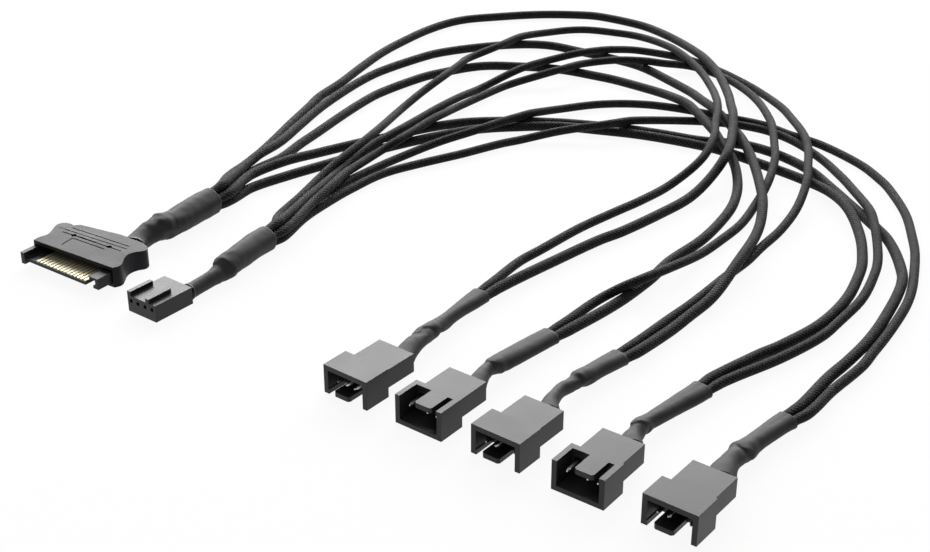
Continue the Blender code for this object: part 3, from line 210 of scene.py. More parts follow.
# %% Stations of the shrink tubes, in millimetres
# Distance sideways and backwards from the middle of the housing's rear, height of the
# axis, half width and half height
SLEEVES = {
    "fan_plug_1": [
        (1.6, 0.3, 3.3, 2.9, 2.0), (0.7, 2.7, 3.4, 2.7, 2.0), (-0.4, 6.7, 3.5, 2.4, 2.1),
        (-0.9, 9.9, 3.4, 2.1, 2.0), (-1.7, 12.4, 3.1, 2.3, 2.25), (-2.2, 17.4, 2.8, 2.0, 2.0),
        (-2.9, 22.3, 2.5, 1.7, 1.9), (-3.7, 28.5, 2.2, 2.0, 1.9), (-4.2, 33.6, 2.0, 2.6, 1.9),
        (-4.4, 37.7, 2.0, 2.8, 1.9),
    ],
    "fan_plug_2": [
        (1.9, 0.3, 3.2, 2.6, 1.9), (0.8, 3.0, 3.3, 2.2, 1.9), (-0.1, 5.9, 3.3, 1.8, 1.9),
        (-0.6, 8.4, 3.2, 1.8, 1.9), (-0.7, 10.7, 2.9, 2.3, 2.3), (-0.5, 15.3, 2.5, 2.8, 2.1),
        (0.0, 22.5, 2.2, 3.0, 2.0), (0.9, 31.6, 2.0, 2.9, 1.9),
    ],
    "fan_plug_3": [
        (1.0, 0.3, 3.7, 2.8, 2.2), (-0.9, 3.5, 3.6, 2.0, 2.1), (-2.0, 7.1, 3.5, 1.5, 1.9),
        (-2.6, 9.8, 3.3, 1.5, 1.8), (-2.7, 12.0, 3.1, 1.65, 1.8), (-2.6, 14.8, 2.8, 1.8, 1.8),
        (-2.5, 17.6, 2.6, 2.3, 2.1), (-2.2, 23.6, 2.3, 2.4, 2.0), (-1.2, 32.5, 2.0, 2.8, 1.9),
    ],
    "fan_plug_4": [
        (1.8, 0.3, 3.7, 2.9, 2.2), (0.2, 3.0, 3.6, 2.4, 2.1), (-0.5, 6.2, 3.4, 2.1, 2.1),
        (-0.9, 8.5, 3.2, 2.2, 2.25), (-1.0, 12.2, 2.8, 1.9, 2.0), (-0.6, 17.4, 2.4, 2.2, 1.9),
        (0.0, 22.9, 2.1, 2.5, 1.9), (0.8, 28.0, 2.0, 2.8, 1.9), (1.4, 32.2, 2.0, 3.0, 1.9),
    ],
    "fan_plug_5": [
        (1.3, 0.3, 3.7, 3.4, 2.2), (0.2, 3.4, 3.7, 3.0, 2.2), (-0.4, 6.8, 3.5, 2.4, 2.1),
        (-0.5, 9.5, 3.3, 2.3, 2.1), (-0.7, 12.1, 3.0, 2.6, 2.3), (-0.6, 17.0, 2.6, 2.35, 2.1),
        (-0.4, 22.4, 2.2, 2.4, 2.0), (0.0, 28.0, 2.0, 2.7, 1.9), (0.6, 31.4, 2.0, 2.8, 1.9),
    ],
    "control_socket": [
        (3.2, 0.3, 2.5, 2.0, 2.1), (3.0, 3.0, 2.5, 1.9, 2.1), (2.8, 5.7, 2.5, 1.95, 2.1),
        (2.7, 9.0, 2.6, 1.95, 2.1), (2.4, 11.8, 2.8, 2.3, 2.4), (2.1, 14.0, 3.3, 3.2, 3.1),
        (0.9, 20.8, 3.5, 3.3, 3.4), (-0.5, 27.6, 3.5, 3.5, 3.4), (-1.1, 33.1, 3.5, 3.5, 3.4),
    ],
    "power_plug": [
        (5.0, 0.3, 2.8, 3.6, 2.3), (4.1, 3.0, 2.9, 3.2, 2.5), (3.6, 5.9, 3.2, 3.4, 2.8),
        (3.6, 8.2, 3.6, 3.8, 3.2), (4.1, 10.7, 3.8, 4.3, 3.6), (4.8, 13.7, 3.8, 4.0, 3.6),
        (4.8, 16.3, 3.8, 3.9, 3.6), (4.4, 21.1, 3.9, 4.0, 3.7), (4.0, 26.1, 3.9, 4.1, 3.8),
        (3.7, 31.2, 3.9, 4.0, 3.8),
    ],
}
print("stations:", sum(len(stations) for stations in SLEEVES.values()))

# %% [markdown]
# A lead bends softly, so a point of its route never shows as a corner. Straight runs with
# rounded corners would look like bent wire. Here a curved piece joins each two points,
# with its directions taken from the points beside them, and the line is then marked off
# in even steps.


# %% Smooth lines through chosen points
def smooth_through(points, steps):
    """Points on a smooth curve through the given ones, with tangents along their neighbours."""
    points = [Vector(point) for point in points]
    tangents = []
    for index in range(len(points)):
        before = points[max(index - 1, 0)]
        after = points[min(index + 1, len(points) - 1)]
        tangents.append((after - before).normalized())
    curve = [points[0]]
    for index in range(len(points) - 1):
        reach = (points[index + 1] - points[index]).length / 3
        piece = interpolate_bezier(
            points[index], points[index] + tangents[index] * reach,
            points[index + 1] - tangents[index + 1] * reach, points[index + 1], steps + 1)
        curve.extend(piece[1:])
    return curve


def evenly_spaced(points, spacing):
    """The same line as an array of points about the given distance apart."""
    points = np.array([tuple(point) for point in points])
    lengths = np.linalg.norm(np.diff(points, axis=0), axis=1)
    along = np.concatenate([[0.0], np.cumsum(lengths)])
    count = max(2, int(round(along[-1] / spacing)) + 1)
    marks = np.linspace(0.0, along[-1], count)
    return np.stack([np.interp(marks, along, points[:, axis]) for axis in range(3)], axis=1)


print("line makers ready")


# %% Where a shrink tube runs
def housing_rear(place, turn, length):
    """Middle of a housing's rear face, seen from above."""
    forward = Matrix.Rotation(math.radians(turn), 3, "Z") @ Vector((0, length, 0))
    return (place[0] + forward.x, place[1] + forward.y)


def sleeve_frame(name):
    """Rear middle of the housing that a shrink tube sits on, and its turn."""
    if name == "power_plug":
        return housing_rear(HOOD_PLACE, HOOD_TURN, HOOD_REAR), HOOD_TURN
    if name == "control_socket":
        return housing_rear(SOCKET_PLACE, SOCKET_TURN, SOCKET_LENGTH), SOCKET_TURN
    plug = PLUGS[name]
    return housing_rear(plug["place"], plug["turn"], PLUG_LENGTH), plug["turn"]


def sleeve_axis(name):
    """Stations of a shrink tube where it lies: axis point, half width, half height."""
    rear, turn = sleeve_frame(name)
    turned = Matrix.Rotation(math.radians(turn), 3, "Z")
    placed = []
    for across, back, level, half_width, half_height in SLEEVES[name]:
        point = turned @ Vector((across, back, 0))
        placed.append((Vector((point.x + rear[0], point.y + rear[1], level)), half_width, half_height))
    return placed


def sleeve_end(name):
    """Middle and level direction of a shrink tube's open end."""
    stations = sleeve_axis(name)
    end = stations[-1][0]
    direction = end - stations[-2][0]
    direction.z = 0
    return end, direction.normalized()


print("fan plug 1 shrink tube ends at", [round(x, 1) for x in sleeve_end("fan_plug_1")[0]])

# %% [markdown]
# Five leads leave the power plug's tube as a ring, and five the control socket's. At a
# fan plug one of each kind goes in, side by side. These places fix both ends of every
# lead, so only the middle of a route can move.


# %% Where each lead starts and ends
def lead_width(name):
    return POWER_LEAD if name.startswith("power") else SIGNAL_LEAD


def lead_ends():
    ends = {}
    groups = [("power", "power_plug", POWER_LEAD, POWER_RING),
              ("signal", "control_socket", SIGNAL_LEAD, SIGNAL_RING)]
    for kind, sleeve, width, ring in groups:
        end, ahead = sleeve_end(sleeve)
        side = Vector((ahead.y, -ahead.x, 0))
        reach = SQUEEZE * (width + LEAD_GAP) / 2 / math.sin(math.pi / len(ring))
        for number, angle in ring.items():
            turned = math.radians(angle)
            offset = side * (math.cos(turned) * reach) + Vector((0, 0, math.sin(turned) * reach))
            ends[f"{kind}_lead_{number}"] = [(end + offset + ahead * SEAT_GAP, ahead)]
    for name, plug in PLUGS.items():
        end, ahead = sleeve_end(name)
        side = Vector((ahead.y, -ahead.x, 0))
        apart = SQUEEZE * (POWER_LEAD + SIGNAL_LEAD) / 2 + LEAD_GAP
        for lead, way in zip(plug["leads"], (-1, 1)):
            ends[lead].append((end + side * (way * apart / 2) + ahead * SEAT_GAP, ahead))
    return ends


ENDS = lead_ends()
print("leads with both ends:", sum(len(pair) == 2 for pair in ENDS.values()))

# %% [markdown]
# Routes given point by point always cut into each other a little. The next step finds
# every pair of leads that would touch and moves both by half of what is missing, again
# and again, as if they pushed each other aside on the table.

# %% Leads moved apart
CHORD_ALLOWANCE = 0.02   # straight pieces between points cut a bend a little short
FINE_SPACING = 1.25      # between the points of a line
LEAD_STEPS = 6           # points of a smooth line for each chosen one
SPREAD_ROUNDS = 160
ROUNDS_PER_PAIRING = 8   # rounds between two searches for close pairs
PAIR_MARGIN = 1.0        # pairs this much further apart are watched too
NO_DISTANCE = 0.01       # keeps the division safe where two points meet
HELD_POINTS = 3.0        # points at each end over which a line becomes free to move
END_RUN = 6.0            # straight run out of a tube


def lead_line(name):
    (start, ahead), (finish, back) = ENDS[name]
    level = lead_width(name) / 2 + LEAD_LIFT
    layer = POWER_LEAD + LEAD_GAP
    route = [Vector((x, y, level + layer * over)) for x, y, over in ROUTES[name]]
    points = [start, start + ahead * END_RUN, *route, finish + back * END_RUN, finish]
    return evenly_spaced(smooth_through(points, LEAD_STEPS), FINE_SPACING)


def eased(shift):
    """The same moves, each one averaged with those beside it, so that a line stays smooth."""
    mean = shift.copy()
    mean[1:-1] = (shift[:-2] + 2 * shift[1:-1] + shift[2:]) / 4
    return mean


def wanted_distance(first, second):
    """Between the middles of two leads that lie side by side."""
    return (lead_width(first) + lead_width(second)) / 2 + LEAD_GAP + CHORD_ALLOWANCE


def close_pairs(spots):
    """Points of each two leads that touch, or nearly."""
    names = list(spots)
    pairs = []
    for index, first in enumerate(names):
        for second in names[index + 1:]:
            apart = spots[first][:, None, :] - spots[second][None, :, :]
            distance = np.linalg.norm(apart, axis=2)
            rows, columns = np.nonzero(distance < wanted_distance(first, second) + PAIR_MARGIN)
            if len(rows):
                pairs.append((first, second, rows, columns))
    return pairs


def end_hold(count):
    """How freely each point may move: not at all at the ends."""
    from_end = np.minimum(np.arange(count), np.arange(count)[::-1])
    return np.clip(from_end / HELD_POINTS, 0.0, 1.0)[:, None]


print("chosen points:", sum(len(route) for route in ROUTES.values()))


# %% Pushing, round after round
def spread_leads(lines):
    starts = {name: line.copy() for name, line in lines.items()}
    spots = {name: line.copy() for name, line in lines.items()}
    free = {name: end_hold(len(line)) for name, line in lines.items()}
    pairs = []
    for turn in range(SPREAD_ROUNDS):
        if turn % ROUNDS_PER_PAIRING == 0:
            pairs = close_pairs(spots)
        moves = {name: np.zeros_like(line) for name, line in lines.items()}
        counts = {name: np.ones((len(line), 1)) for name, line in lines.items()}
        for first, second, rows, columns in pairs:
            apart = spots[first][rows] - spots[second][columns]
            distance = np.linalg.norm(apart, axis=1)[:, None]
            missing = np.maximum(wanted_distance(first, second) - distance, 0.0)
            push = apart / np.maximum(distance, NO_DISTANCE) * missing / 2
            np.add.at(moves[first], rows, push)
            np.add.at(moves[second], columns, -push)
            np.add.at(counts[first], rows, missing > 0)
            np.add.at(counts[second], columns, missing > 0)
        for name in lines:
            push = moves[name] / np.maximum(counts[name] - 1, 1)
            shift = eased(eased(spots[name] - starts[name] + push * free[name])) * free[name]
            spots[name] = starts[name] + shift
            spots[name][:, 2] = np.maximum(spots[name][:, 2], lead_width(name) / 2 + LEAD_LIFT)
    return spots


LINES = spread_leads({name: lead_line(name) for name in ROUTES})
print("highest lead point:", round(max(line[:, 2].max() for line in LINES.values()), 1), "mm")

# %% [markdown]
# Materials are made of nodes. Small helpers keep each recipe short: they add a node, set
# its plain values and link its inputs. Values that are the same all over the surface sit
# on the Principled shader's own sockets.


# %% Node helpers
def new_material(name, color, roughness, metallic=0.0, gloss=0.5):
    made = bpy.data.materials.new(name)
    made.use_nodes = True
    shader = made.node_tree.nodes["Principled BSDF"]
    shader.inputs["Base Color"].default_value = (*color, 1.0)
    shader.inputs["Roughness"].default_value = roughness
    shader.inputs["Metallic"].default_value = metallic
    shader.inputs["Specular IOR Level"].default_value = gloss
    return made, shader


def link(finish, source, target):
    finish.node_tree.links.new(source, target)


def node(finish, kind, values=None, **links):
    """Adds a node; values are set on named inputs or settings, links join other sockets in."""
    added = finish.node_tree.nodes.new(kind)
    for key, value in (values or {}).items():
        if key in added.inputs:
            added.inputs[key].default_value = value
        else:
            setattr(added, key, value)
    for key, socket in links.items():
        link(finish, socket, added.inputs[key.replace("_", " ")])
    return added


def in_order(finish, kind, feeds, values=None):
    """Adds a node and fills its inputs from the first on: a number is set, a socket linked."""
    added = node(finish, kind, values)
    for target, feed in zip(added.inputs, feeds):
        if isinstance(feed, float):
            target.default_value = feed
        else:
            link(finish, feed, target)
    return added.outputs[0]


def reckon(finish, operation, *feeds):
    return in_order(finish, "ShaderNodeMath", feeds, {"operation": operation})


def mixed(finish, share, first, second):
    """A shader between two others: the first at share 0, the second at share 1."""
    return in_order(finish, "ShaderNodeMixShader", (share, first, second))


print("node helpers ready")

# %% [markdown]
# No real surface is the same all over. Noise that is fixed to the piece serves three
# ends: it blends two near colours, it varies the gloss, and it gives the bump.


# %% Patterns for every finish
def mottle(finish, scale, detail):
    """Noise at the places of the piece's own points; a larger scale is finer."""
    place = node(finish, "ShaderNodeTexCoord").outputs["Object"]
    cloud = node(finish, "ShaderNodeTexNoise", {"Scale": scale, "Detail": detail}, Vector=place)
    return cloud.outputs["Fac"]


def tint(finish, shader, pattern, dark, light):
    blend = node(finish, "ShaderNodeValToRGB", Fac=pattern)
    blend.color_ramp.elements[0].color = (*dark, 1)
    blend.color_ramp.elements[1].color = (*light, 1)
    link(finish, blend.outputs["Color"], shader.inputs["Base Color"])


def vary_roughness(finish, shader, pattern, least, most):
    spread = node(finish, "ShaderNodeMapRange", {"To Min": least, "To Max": most}, Value=pattern)
    link(finish, spread.outputs["Result"], shader.inputs["Roughness"])


def bump(finish, shader, pattern, strength, distance):
    made = node(finish, "ShaderNodeBump", {"Strength": strength, "Distance": distance}, Height=pattern)
    link(finish, made.outputs["Normal"], shader.inputs["Normal"])


print("pattern helpers ready")

# %% [markdown]
# Moulded nylon and ABS look black, but strong soft light shows them as grey with a
# broad sheen. The mould leaves a very fine grain, so the roughness and the colour vary
# a little, and a fine noise gives the bump.


# %% Moulded plastic
PLASTIC_GLOSS = 0.27
HOOD_GLOSS = 0.15
CLOUD_SCALE = 120.0      # slow changes of colour and roughness
GRAIN_SCALE = 900.0      # the grain that the mould leaves


def moulded_plastic(name, dark, light, roughness, gloss=PLASTIC_GLOSS):
    finish, shader = new_material(name, light, roughness, gloss=gloss)
    cloud = mottle(finish, CLOUD_SCALE, detail=4.0)
    tint(finish, shader, cloud, dark, light)
    vary_roughness(finish, shader, cloud, least=roughness - 0.06, most=roughness + 0.08)
    grain = mottle(finish, GRAIN_SCALE, detail=3.0)
    bump(finish, shader, grain, strength=0.25, distance=0.00006)
    return finish


HOUSING_BLACK = moulded_plastic("housing_black", (0.026, 0.026, 0.028), (0.037, 0.037, 0.04), 0.38)
HOOD_BLACK = moulded_plastic(
    "hood_black", (0.018, 0.017, 0.02), (0.03, 0.028, 0.033), 0.47, gloss=HOOD_GLOSS)
TONGUE_BLACK = moulded_plastic("tongue_black", (0.016, 0.016, 0.018), (0.026, 0.026, 0.028), 0.5)
print("plastics:", HOUSING_BLACK.name, HOOD_BLACK.name, TONGUE_BLACK.name)

# %% [markdown]
# The contacts have a thin gold plating and the pins a tin one. Drawn or stamped metal is
# never a mirror, so a very fine noise makes its roughness and its surface uneven. The
# gold is rather rough and part metallic only: each contact is under a millimetre wide,
# and a mirror would turn it into a row of bright beads.


# %% Plated metal
PLATING_SCALE = 1500.0


def plated(name, color, roughness, metallic=1.0):
    finish, shader = new_material(name, color, roughness, metallic)
    cloud = mottle(finish, PLATING_SCALE, detail=2.0)
    vary_roughness(finish, shader, cloud, least=roughness - 0.08, most=roughness + 0.12)
    bump(finish, shader, cloud, strength=0.2, distance=0.00003)
    return finish


GOLD = plated("pale_gold", (0.8, 0.74, 0.52), 0.5, metallic=0.65)
TIN = plated("tin", (0.78, 0.77, 0.75), 0.3)
print("metals:", GOLD.name, TIN.name)

# %% [markdown]
# Heat-shrink tube is polyolefin: satin, nearly black, and it keeps small ripples where
# it shrank over a step. The ripples are in the mesh; the material adds a faint mottle.


# %% Heat-shrink tube
SHRINK_GLOSS = 0.36
SHRINK_MOTTLE = 260.0
SHRINK_DARK = (0.034, 0.034, 0.036)
SHRINK_LIGHT = (0.062, 0.061, 0.064)


def shrink_material():
    finish, shader = new_material("heat_shrink", (0.04, 0.04, 0.042), 0.66, gloss=SHRINK_GLOSS)
    cloud = mottle(finish, SHRINK_MOTTLE, detail=3.0)
    tint(finish, shader, cloud, SHRINK_DARK, SHRINK_LIGHT)
    bump(finish, shader, cloud, strength=0.4, distance=0.00014)
    return finish


HEAT_SHRINK = shrink_material()
# The collar's near-black finish is painted shade: the dark gap where the tube meets its housing.
COLLAR_PAINTED_SHADE = moulded_plastic("collar_painted_shade", (0.006, 0.006, 0.007), (0.01, 0.01, 0.011), 0.35)
print("tube finishes:", HEAT_SHRINK.name, COLLAR_PAINTED_SHADE.name)

# %% [markdown]
# The braid is two sets of threads that wind round the lead in opposite directions. The
# lead's map counts millimetres along it and one turn round it, so two waves that slant
# opposite ways give the crossing threads at their true size on every lead. The colour
# follows the waves' height: painted shade, near black, in the gaps between the threads,
# and a painted highlight, grey, on their tops, stronger in some patches than in others.


# %% Braided sleeve
BRAID_PITCH = 1.1        # along the lead, between crossings of one set of threads
BRAID_AROUND = 8         # threads of one set, counted round the lead
BRAID_GAP = 0.25         # below this height of the waves lies the dark gap between threads
BRAID_GLOSS = 0.21
# painted shade, near black, in the gaps between the threads, and a painted highlight, grey, on their tops
GAP_PAINTED_SHADE = (0.001, 0.001, 0.0012)
THREAD_PAINTED_HIGHLIGHT = (0.068, 0.068, 0.072)
PATCH_SCALE = 900.0
PATCH_RANGE = {"From Min": 0.3, "From Max": 0.7, "To Min": 0.35, "To Max": 1.2}


def braid_material():
    finish, shader = new_material("braided_sleeve", (0.015, 0.015, 0.016), 0.72, gloss=BRAID_GLOSS)
    where = node(finish, "ShaderNodeUVMap", {"uv_map": "UVMap"}).outputs["UV"]
    parts = node(finish, "ShaderNodeSeparateXYZ", Vector=where)
    along = reckon(finish, "MULTIPLY", parts.outputs["X"], 2 * math.pi / BRAID_PITCH)
    around = reckon(finish, "MULTIPLY", parts.outputs["Y"], 2 * math.pi * BRAID_AROUND)
    threads = []
    for way in ("ADD", "SUBTRACT"):
        slanted = reckon(finish, way, along, around)
        threads.append(reckon(finish, "COSINE", slanted))
    top = reckon(finish, "MAXIMUM", *threads)
    above_gap = node(finish, "ShaderNodeMapRange", {"From Min": BRAID_GAP, "From Max": 1.0}, Value=top)
    height = above_gap.outputs["Result"]
    # the painted highlight on the thread tops is stronger in some patches than in others
    patchy = mottle(finish, PATCH_SCALE, detail=2.0)
    highlight_patches = node(finish, "ShaderNodeMapRange", PATCH_RANGE, Value=patchy)
    shown = reckon(finish, "MULTIPLY", height, highlight_patches.outputs["Result"])
    # the colour follows the threads' height: painted shade in the gaps, painted highlight on the tops
    tint(finish, shader, shown, GAP_PAINTED_SHADE, THREAD_PAINTED_HIGHLIGHT)
    bump(finish, shader, height, strength=0.9, distance=0.0002)
    return finish


BRAID = braid_material()
print("braid:", BRAID_AROUND, "threads each way")

# %% [markdown]
# A sleeve is a sheet rolled into a tube. Blender's grid gives the sheet with its map
# already on it: one side becomes the way along the lead, the other the way round. The
# seam is welded and the two ends are filled.


# %% A flat sheet becomes a tube
SHEET_HALF = 0.5         # the sheet is one wide, with its middle at the origin
SEAM_WELD = 1e-7


def new_mesh(shape, name):
    """Writes a bmesh into a new mesh and lets the bmesh go."""
    mesh = bpy.data.meshes.new(name)
    shape.to_mesh(mesh)
    shape.free()
    return mesh


def line_length(points):
    return np.linalg.norm(np.diff(np.array(points), axis=0), axis=1).sum()


def roll_up(mesh, rings):
    """Moves every point of the sheet to its place: rings holds the points of each ring."""
    count, sides = rings.shape[:2]
    spots = np.empty(len(mesh.vertices) * 3)
    mesh.vertices.foreach_get("co", spots)
    spots = spots.reshape(-1, 3)
    rows = np.rint((spots[:, 0] + SHEET_HALF) * (count - 1)).astype(int)
    columns = np.rint((spots[:, 1] + SHEET_HALF) * sides).astype(int)
    spots = rings[rows, columns % sides] * MM
    mesh.vertices.foreach_set("co", spots.ravel())


def stretch_map(mesh, length):
    """Makes the map's first number run from 0 to the tube's length in millimetres."""
    layer = mesh.uv_layers["UVMap"]
    marks = np.empty(len(layer.data) * 2)
    layer.data.foreach_get("uv", marks)
    marks = marks.reshape(-1, 2)
    marks[:, 0] *= length
    layer.data.foreach_set("uv", marks.ravel())


print("sheet helpers ready")


# %% A rolled tube
def rolled_tube(name, centres, sides, surface, finish):
    """A closed tube; surface(index, angles) gives its points round centre number index."""
    count = len(centres)
    sheet = bmesh.new()
    sheet.loops.layers.uv.new("UVMap")
    bmesh.ops.create_grid(
        sheet, x_segments=count - 1, y_segments=sides, size=SHEET_HALF, calc_uvs=True)
    mesh = new_mesh(sheet, name)
    angles = 2 * math.pi * np.arange(sides) / sides
    roll_up(mesh, np.array([surface(index, angles) for index in range(count)]))
    stretch_map(mesh, line_length(centres))
    shape = bmesh.new()
    shape.from_mesh(mesh)
    bmesh.ops.remove_doubles(shape, verts=shape.verts, dist=SEAM_WELD)
    rims = [edge for edge in shape.edges if edge.is_boundary]
    bmesh.ops.holes_fill(shape, edges=rims, sides=0)
    bmesh.ops.recalc_face_normals(shape, faces=shape.faces)
    shape.to_mesh(mesh)
    shape.free()
    mesh.shade_smooth()
    mesh.materials.append(finish)
    return put_in_scene(name, mesh)


def ring_frames(centres):
    """Sideways and upward directions at every centre of a line that lies nearly level."""
    centres = np.array(centres)
    ahead = np.gradient(centres, axis=0)
    ahead /= np.linalg.norm(ahead, axis=1)[:, None]
    side = np.cross(ahead, (0, 0, 1.0))
    side /= np.linalg.norm(side, axis=1)[:, None]
    return side, np.cross(side, ahead)


print("tube maker ready")

# %% [markdown]
# Each lead is one rolled tube round its line. It runs a little way into the shrink tube
# at both ends and is narrower there, because the tube grips it, so that no gap shows.


# %% The ten leads
LEAD_SIDES = 16
LEAD_STATION = 0.8       # mm between the rings of a lead
LEAD_INSIDE = 2.4        # a lead runs this far into its shrink tube
SQUEEZE_RUN = 3.0        # the squeeze fades over about this length


def lead_centres(name):
    """A lead's line with a short run into the shrink tube at either end."""
    line = LINES[name]
    start = line[0] - LEAD_INSIDE * (line[1] - line[0]) / np.linalg.norm(line[1] - line[0])
    end = line[-1] + LEAD_INSIDE * (line[-1] - line[-2]) / np.linalg.norm(line[-1] - line[-2])
    return evenly_spaced(np.vstack([start, line, end]), LEAD_STATION)


def squeezed(count):
    """Share of the full width at every ring: less where the shrink tubes hold the lead."""
    from_end = np.minimum(np.arange(count), np.arange(count)[::-1]) * LEAD_STATION - LEAD_INSIDE
    return 1 - (1 - SQUEEZE) * np.exp(-np.maximum(from_end, 0.0) ** 2 / SQUEEZE_RUN ** 2)


def build_lead(name):
    centres = lead_centres(name)
    side, up = ring_frames(centres)
    radius = lead_width(name) / 2 * squeezed(len(centres))

    def surface(index, angles):
        return (centres[index] + radius[index] * (np.cos(angles)[:, None] * side[index]
                                                  + np.sin(angles)[:, None] * up[index]))

    piece = rolled_tube(f"braided_{name}", centres, LEAD_SIDES, surface, BRAID)
    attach(piece, BODY)
    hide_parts(name)
    length = line_length(centres)
    return length


for lead in ROUTES:
    print(lead, round(build_lead(lead), 1), "mm")


# %% [markdown]
# Each shrink tube is one sleeve that was heated until it closed round the leads. Two
# things show that: it wrinkles where it shrank over a step, and its open end stays a
# thin round lip that can be looked into. The rings of the rolled tube therefore turn
# round at the end and run a little way back inside. Noise that is read at the place of
# every point gives the wrinkles, strongest at the step.

# %% The shape of a shrink tube
TUBE_SIDES = 48
TUBE_STEPS = 14          # rings from one station to the next
MOUTH_RINGS = [(0.05, 0.1), (0.02, 0.2), (-0.25, 0.25), (-2.2, 0.25)]   # onwards, narrower
LIP_RISE = 0.05          # of the round lip at the open end
LIP_LENGTH = 0.6
FOLD_HEIGHT = 0.3        # broad soft folds
FOLD_SIZE = 5.0
WRINKLE_HEIGHT = 0.14    # small ones on top of them
WRINKLE_SIZE = 1.9
CALM_SHARE = 0.25        # height of the wrinkles far from the step
STEP_REACH = 4.5         # they are strong for about this far on both sides of it
STEP_RISE = 0.17         # narrower by this before the step and wider after it
STEP_WIDTH = 0.4         # the change takes about this far on either side
STEP_FADE = 3.5          # and fades over about this far
STEP_SWAY = 2.6          # how far the step wanders along the tube on its way round
SWAY_SIZE = 3.5
SEED_APART = 11.0        # gives every tube wrinkles of its own
VALLEY = 0.12            # between the two leads inside a plug's tube
LOBE = 0.03              # over each of five leads
COLLAR_LENGTH = 0.6
COLLAR_RISE = 0.16       # of the collar at the housing
FLOOR_GAP = 0.02         # no wrinkle reaches lower than this
LEAN_SIDE = -0.66        # shares of the lean at the tube's right side and on its top
LEAN_UP = 0.75
CRUMPLED = {"power_plug": 1.7, "control_socket": 1.4}   # their wrinkles are higher
COLLARED = ("control_socket", "power_plug")

# Where a tube is narrow and then wide again, in millimetres from its housing; how far
# this step leans along the tube, from its upper left to its lower right; and how many
# leads the tube holds
STEPS = {
    "fan_plug_1": (14.1, 4.7, 2),
    "fan_plug_2": (10.1, 2.0, 2),
    "fan_plug_3": (17.8, 1.0, 2),
    "fan_plug_4": (8.6, 0.6, 2),
    "fan_plug_5": (12.3, 0.6, 2),
    "control_socket": (13.6, 0.8, 5),
    "power_plug": (11.5, 1.0, 5),
}
print("steps:", len(STEPS))


# %% Wrinkles, step, lip and collar
def wavy(spots, size, seed):
    """Soft noise read at every point, between about -1 and 1."""
    return np.array([noise.noise(Vector(spot) / size + Vector((seed, 0, 0))) for spot in spots])


def relief(name, along, total, spots, angles):
    """How far the tube's points stand out, from wrinkles, the step, the lip and the collar."""
    step, lean, _ = STEPS[name]
    step = step - lean * (LEAN_SIDE * np.cos(angles) + LEAN_UP * np.sin(angles))
    seed = list(SLEEVES).index(name) * SEED_APART
    calm = (CALM_SHARE + np.exp(-((along - step) / STEP_REACH) ** 2)) * CRUMPLED.get(name, 1.0)
    folds = wavy(spots, FOLD_SIZE, seed) * FOLD_HEIGHT
    folds += wavy(spots, WRINKLE_SIZE, seed) * WRINKLE_HEIGHT
    away = along - step - STEP_SWAY * wavy(spots, SWAY_SIZE, seed + SWAY_SIZE)
    rise = STEP_RISE * np.tanh(away / STEP_WIDTH) * np.exp(-(away / STEP_FADE) ** 2)
    rise += LIP_RISE * math.exp(-((total - along) / LIP_LENGTH) ** 2)
    if name in COLLARED:
        rise += COLLAR_RISE * math.exp(-(along / COLLAR_LENGTH) ** 4)
    return folds * calm + rise


def hugged(name, along, total, angles):
    """Width and height shares of the section: a valley between two leads, or five lobes."""
    step, _, leads = STEPS[name]
    ramp = min(max((along - step) / (total - step), 0.0), 1.0)
    if leads == 2:
        return np.ones(len(angles)), 1 - VALLEY * ramp * (1 - np.abs(np.cos(angles))) ** 2
    lobes = 1 + LOBE * ramp * np.cos(leads * (angles - math.radians(POWER_RING[4])))
    return lobes, lobes


print("wrinkles up to", FOLD_HEIGHT + WRINKLE_HEIGHT, "mm, more on a crumpled tube")

# %% [markdown]
# A smooth line through the stations gives the axis and the size of every ring. The last
# rings go back inside the tube and make its mouth. The socket's tube and the power
# plug's also have a short raised collar where they meet the housing, coloured near
# black as painted shade of the gap there.


# %% Rings of a shrink tube
def tube_rings(name):
    """Axis points, half sizes and distances along a tube, with the rings that turn inwards."""
    stations = sleeve_axis(name)
    axis = smooth_through([point for point, wide, tall in stations], TUBE_STEPS)
    sizes = smooth_through([Vector((wide, tall, 0)) for point, wide, tall in stations], TUBE_STEPS)
    centres = np.array([tuple(point) for point in axis])
    sizes = np.array([tuple(size)[:2] for size in sizes])
    steps = np.linalg.norm(np.diff(centres, axis=0), axis=1)
    along = np.concatenate([[0.0], np.cumsum(steps)])
    side, up = ring_frames(centres * np.array([1, 1, 0]))
    ahead = np.cross(up[-1], side[-1])
    for run, inset in MOUTH_RINGS:
        centres = np.vstack([centres, centres[len(axis) - 1] + ahead * run])
        sizes = np.vstack([sizes, sizes[len(axis) - 1] - inset])
        along = np.append(along, along[len(axis) - 1])
        side = np.vstack([side, side[len(axis) - 1]])
    return centres, sizes, along, side


print("rings of the power plug's tube:", len(tube_rings("power_plug")[0]))


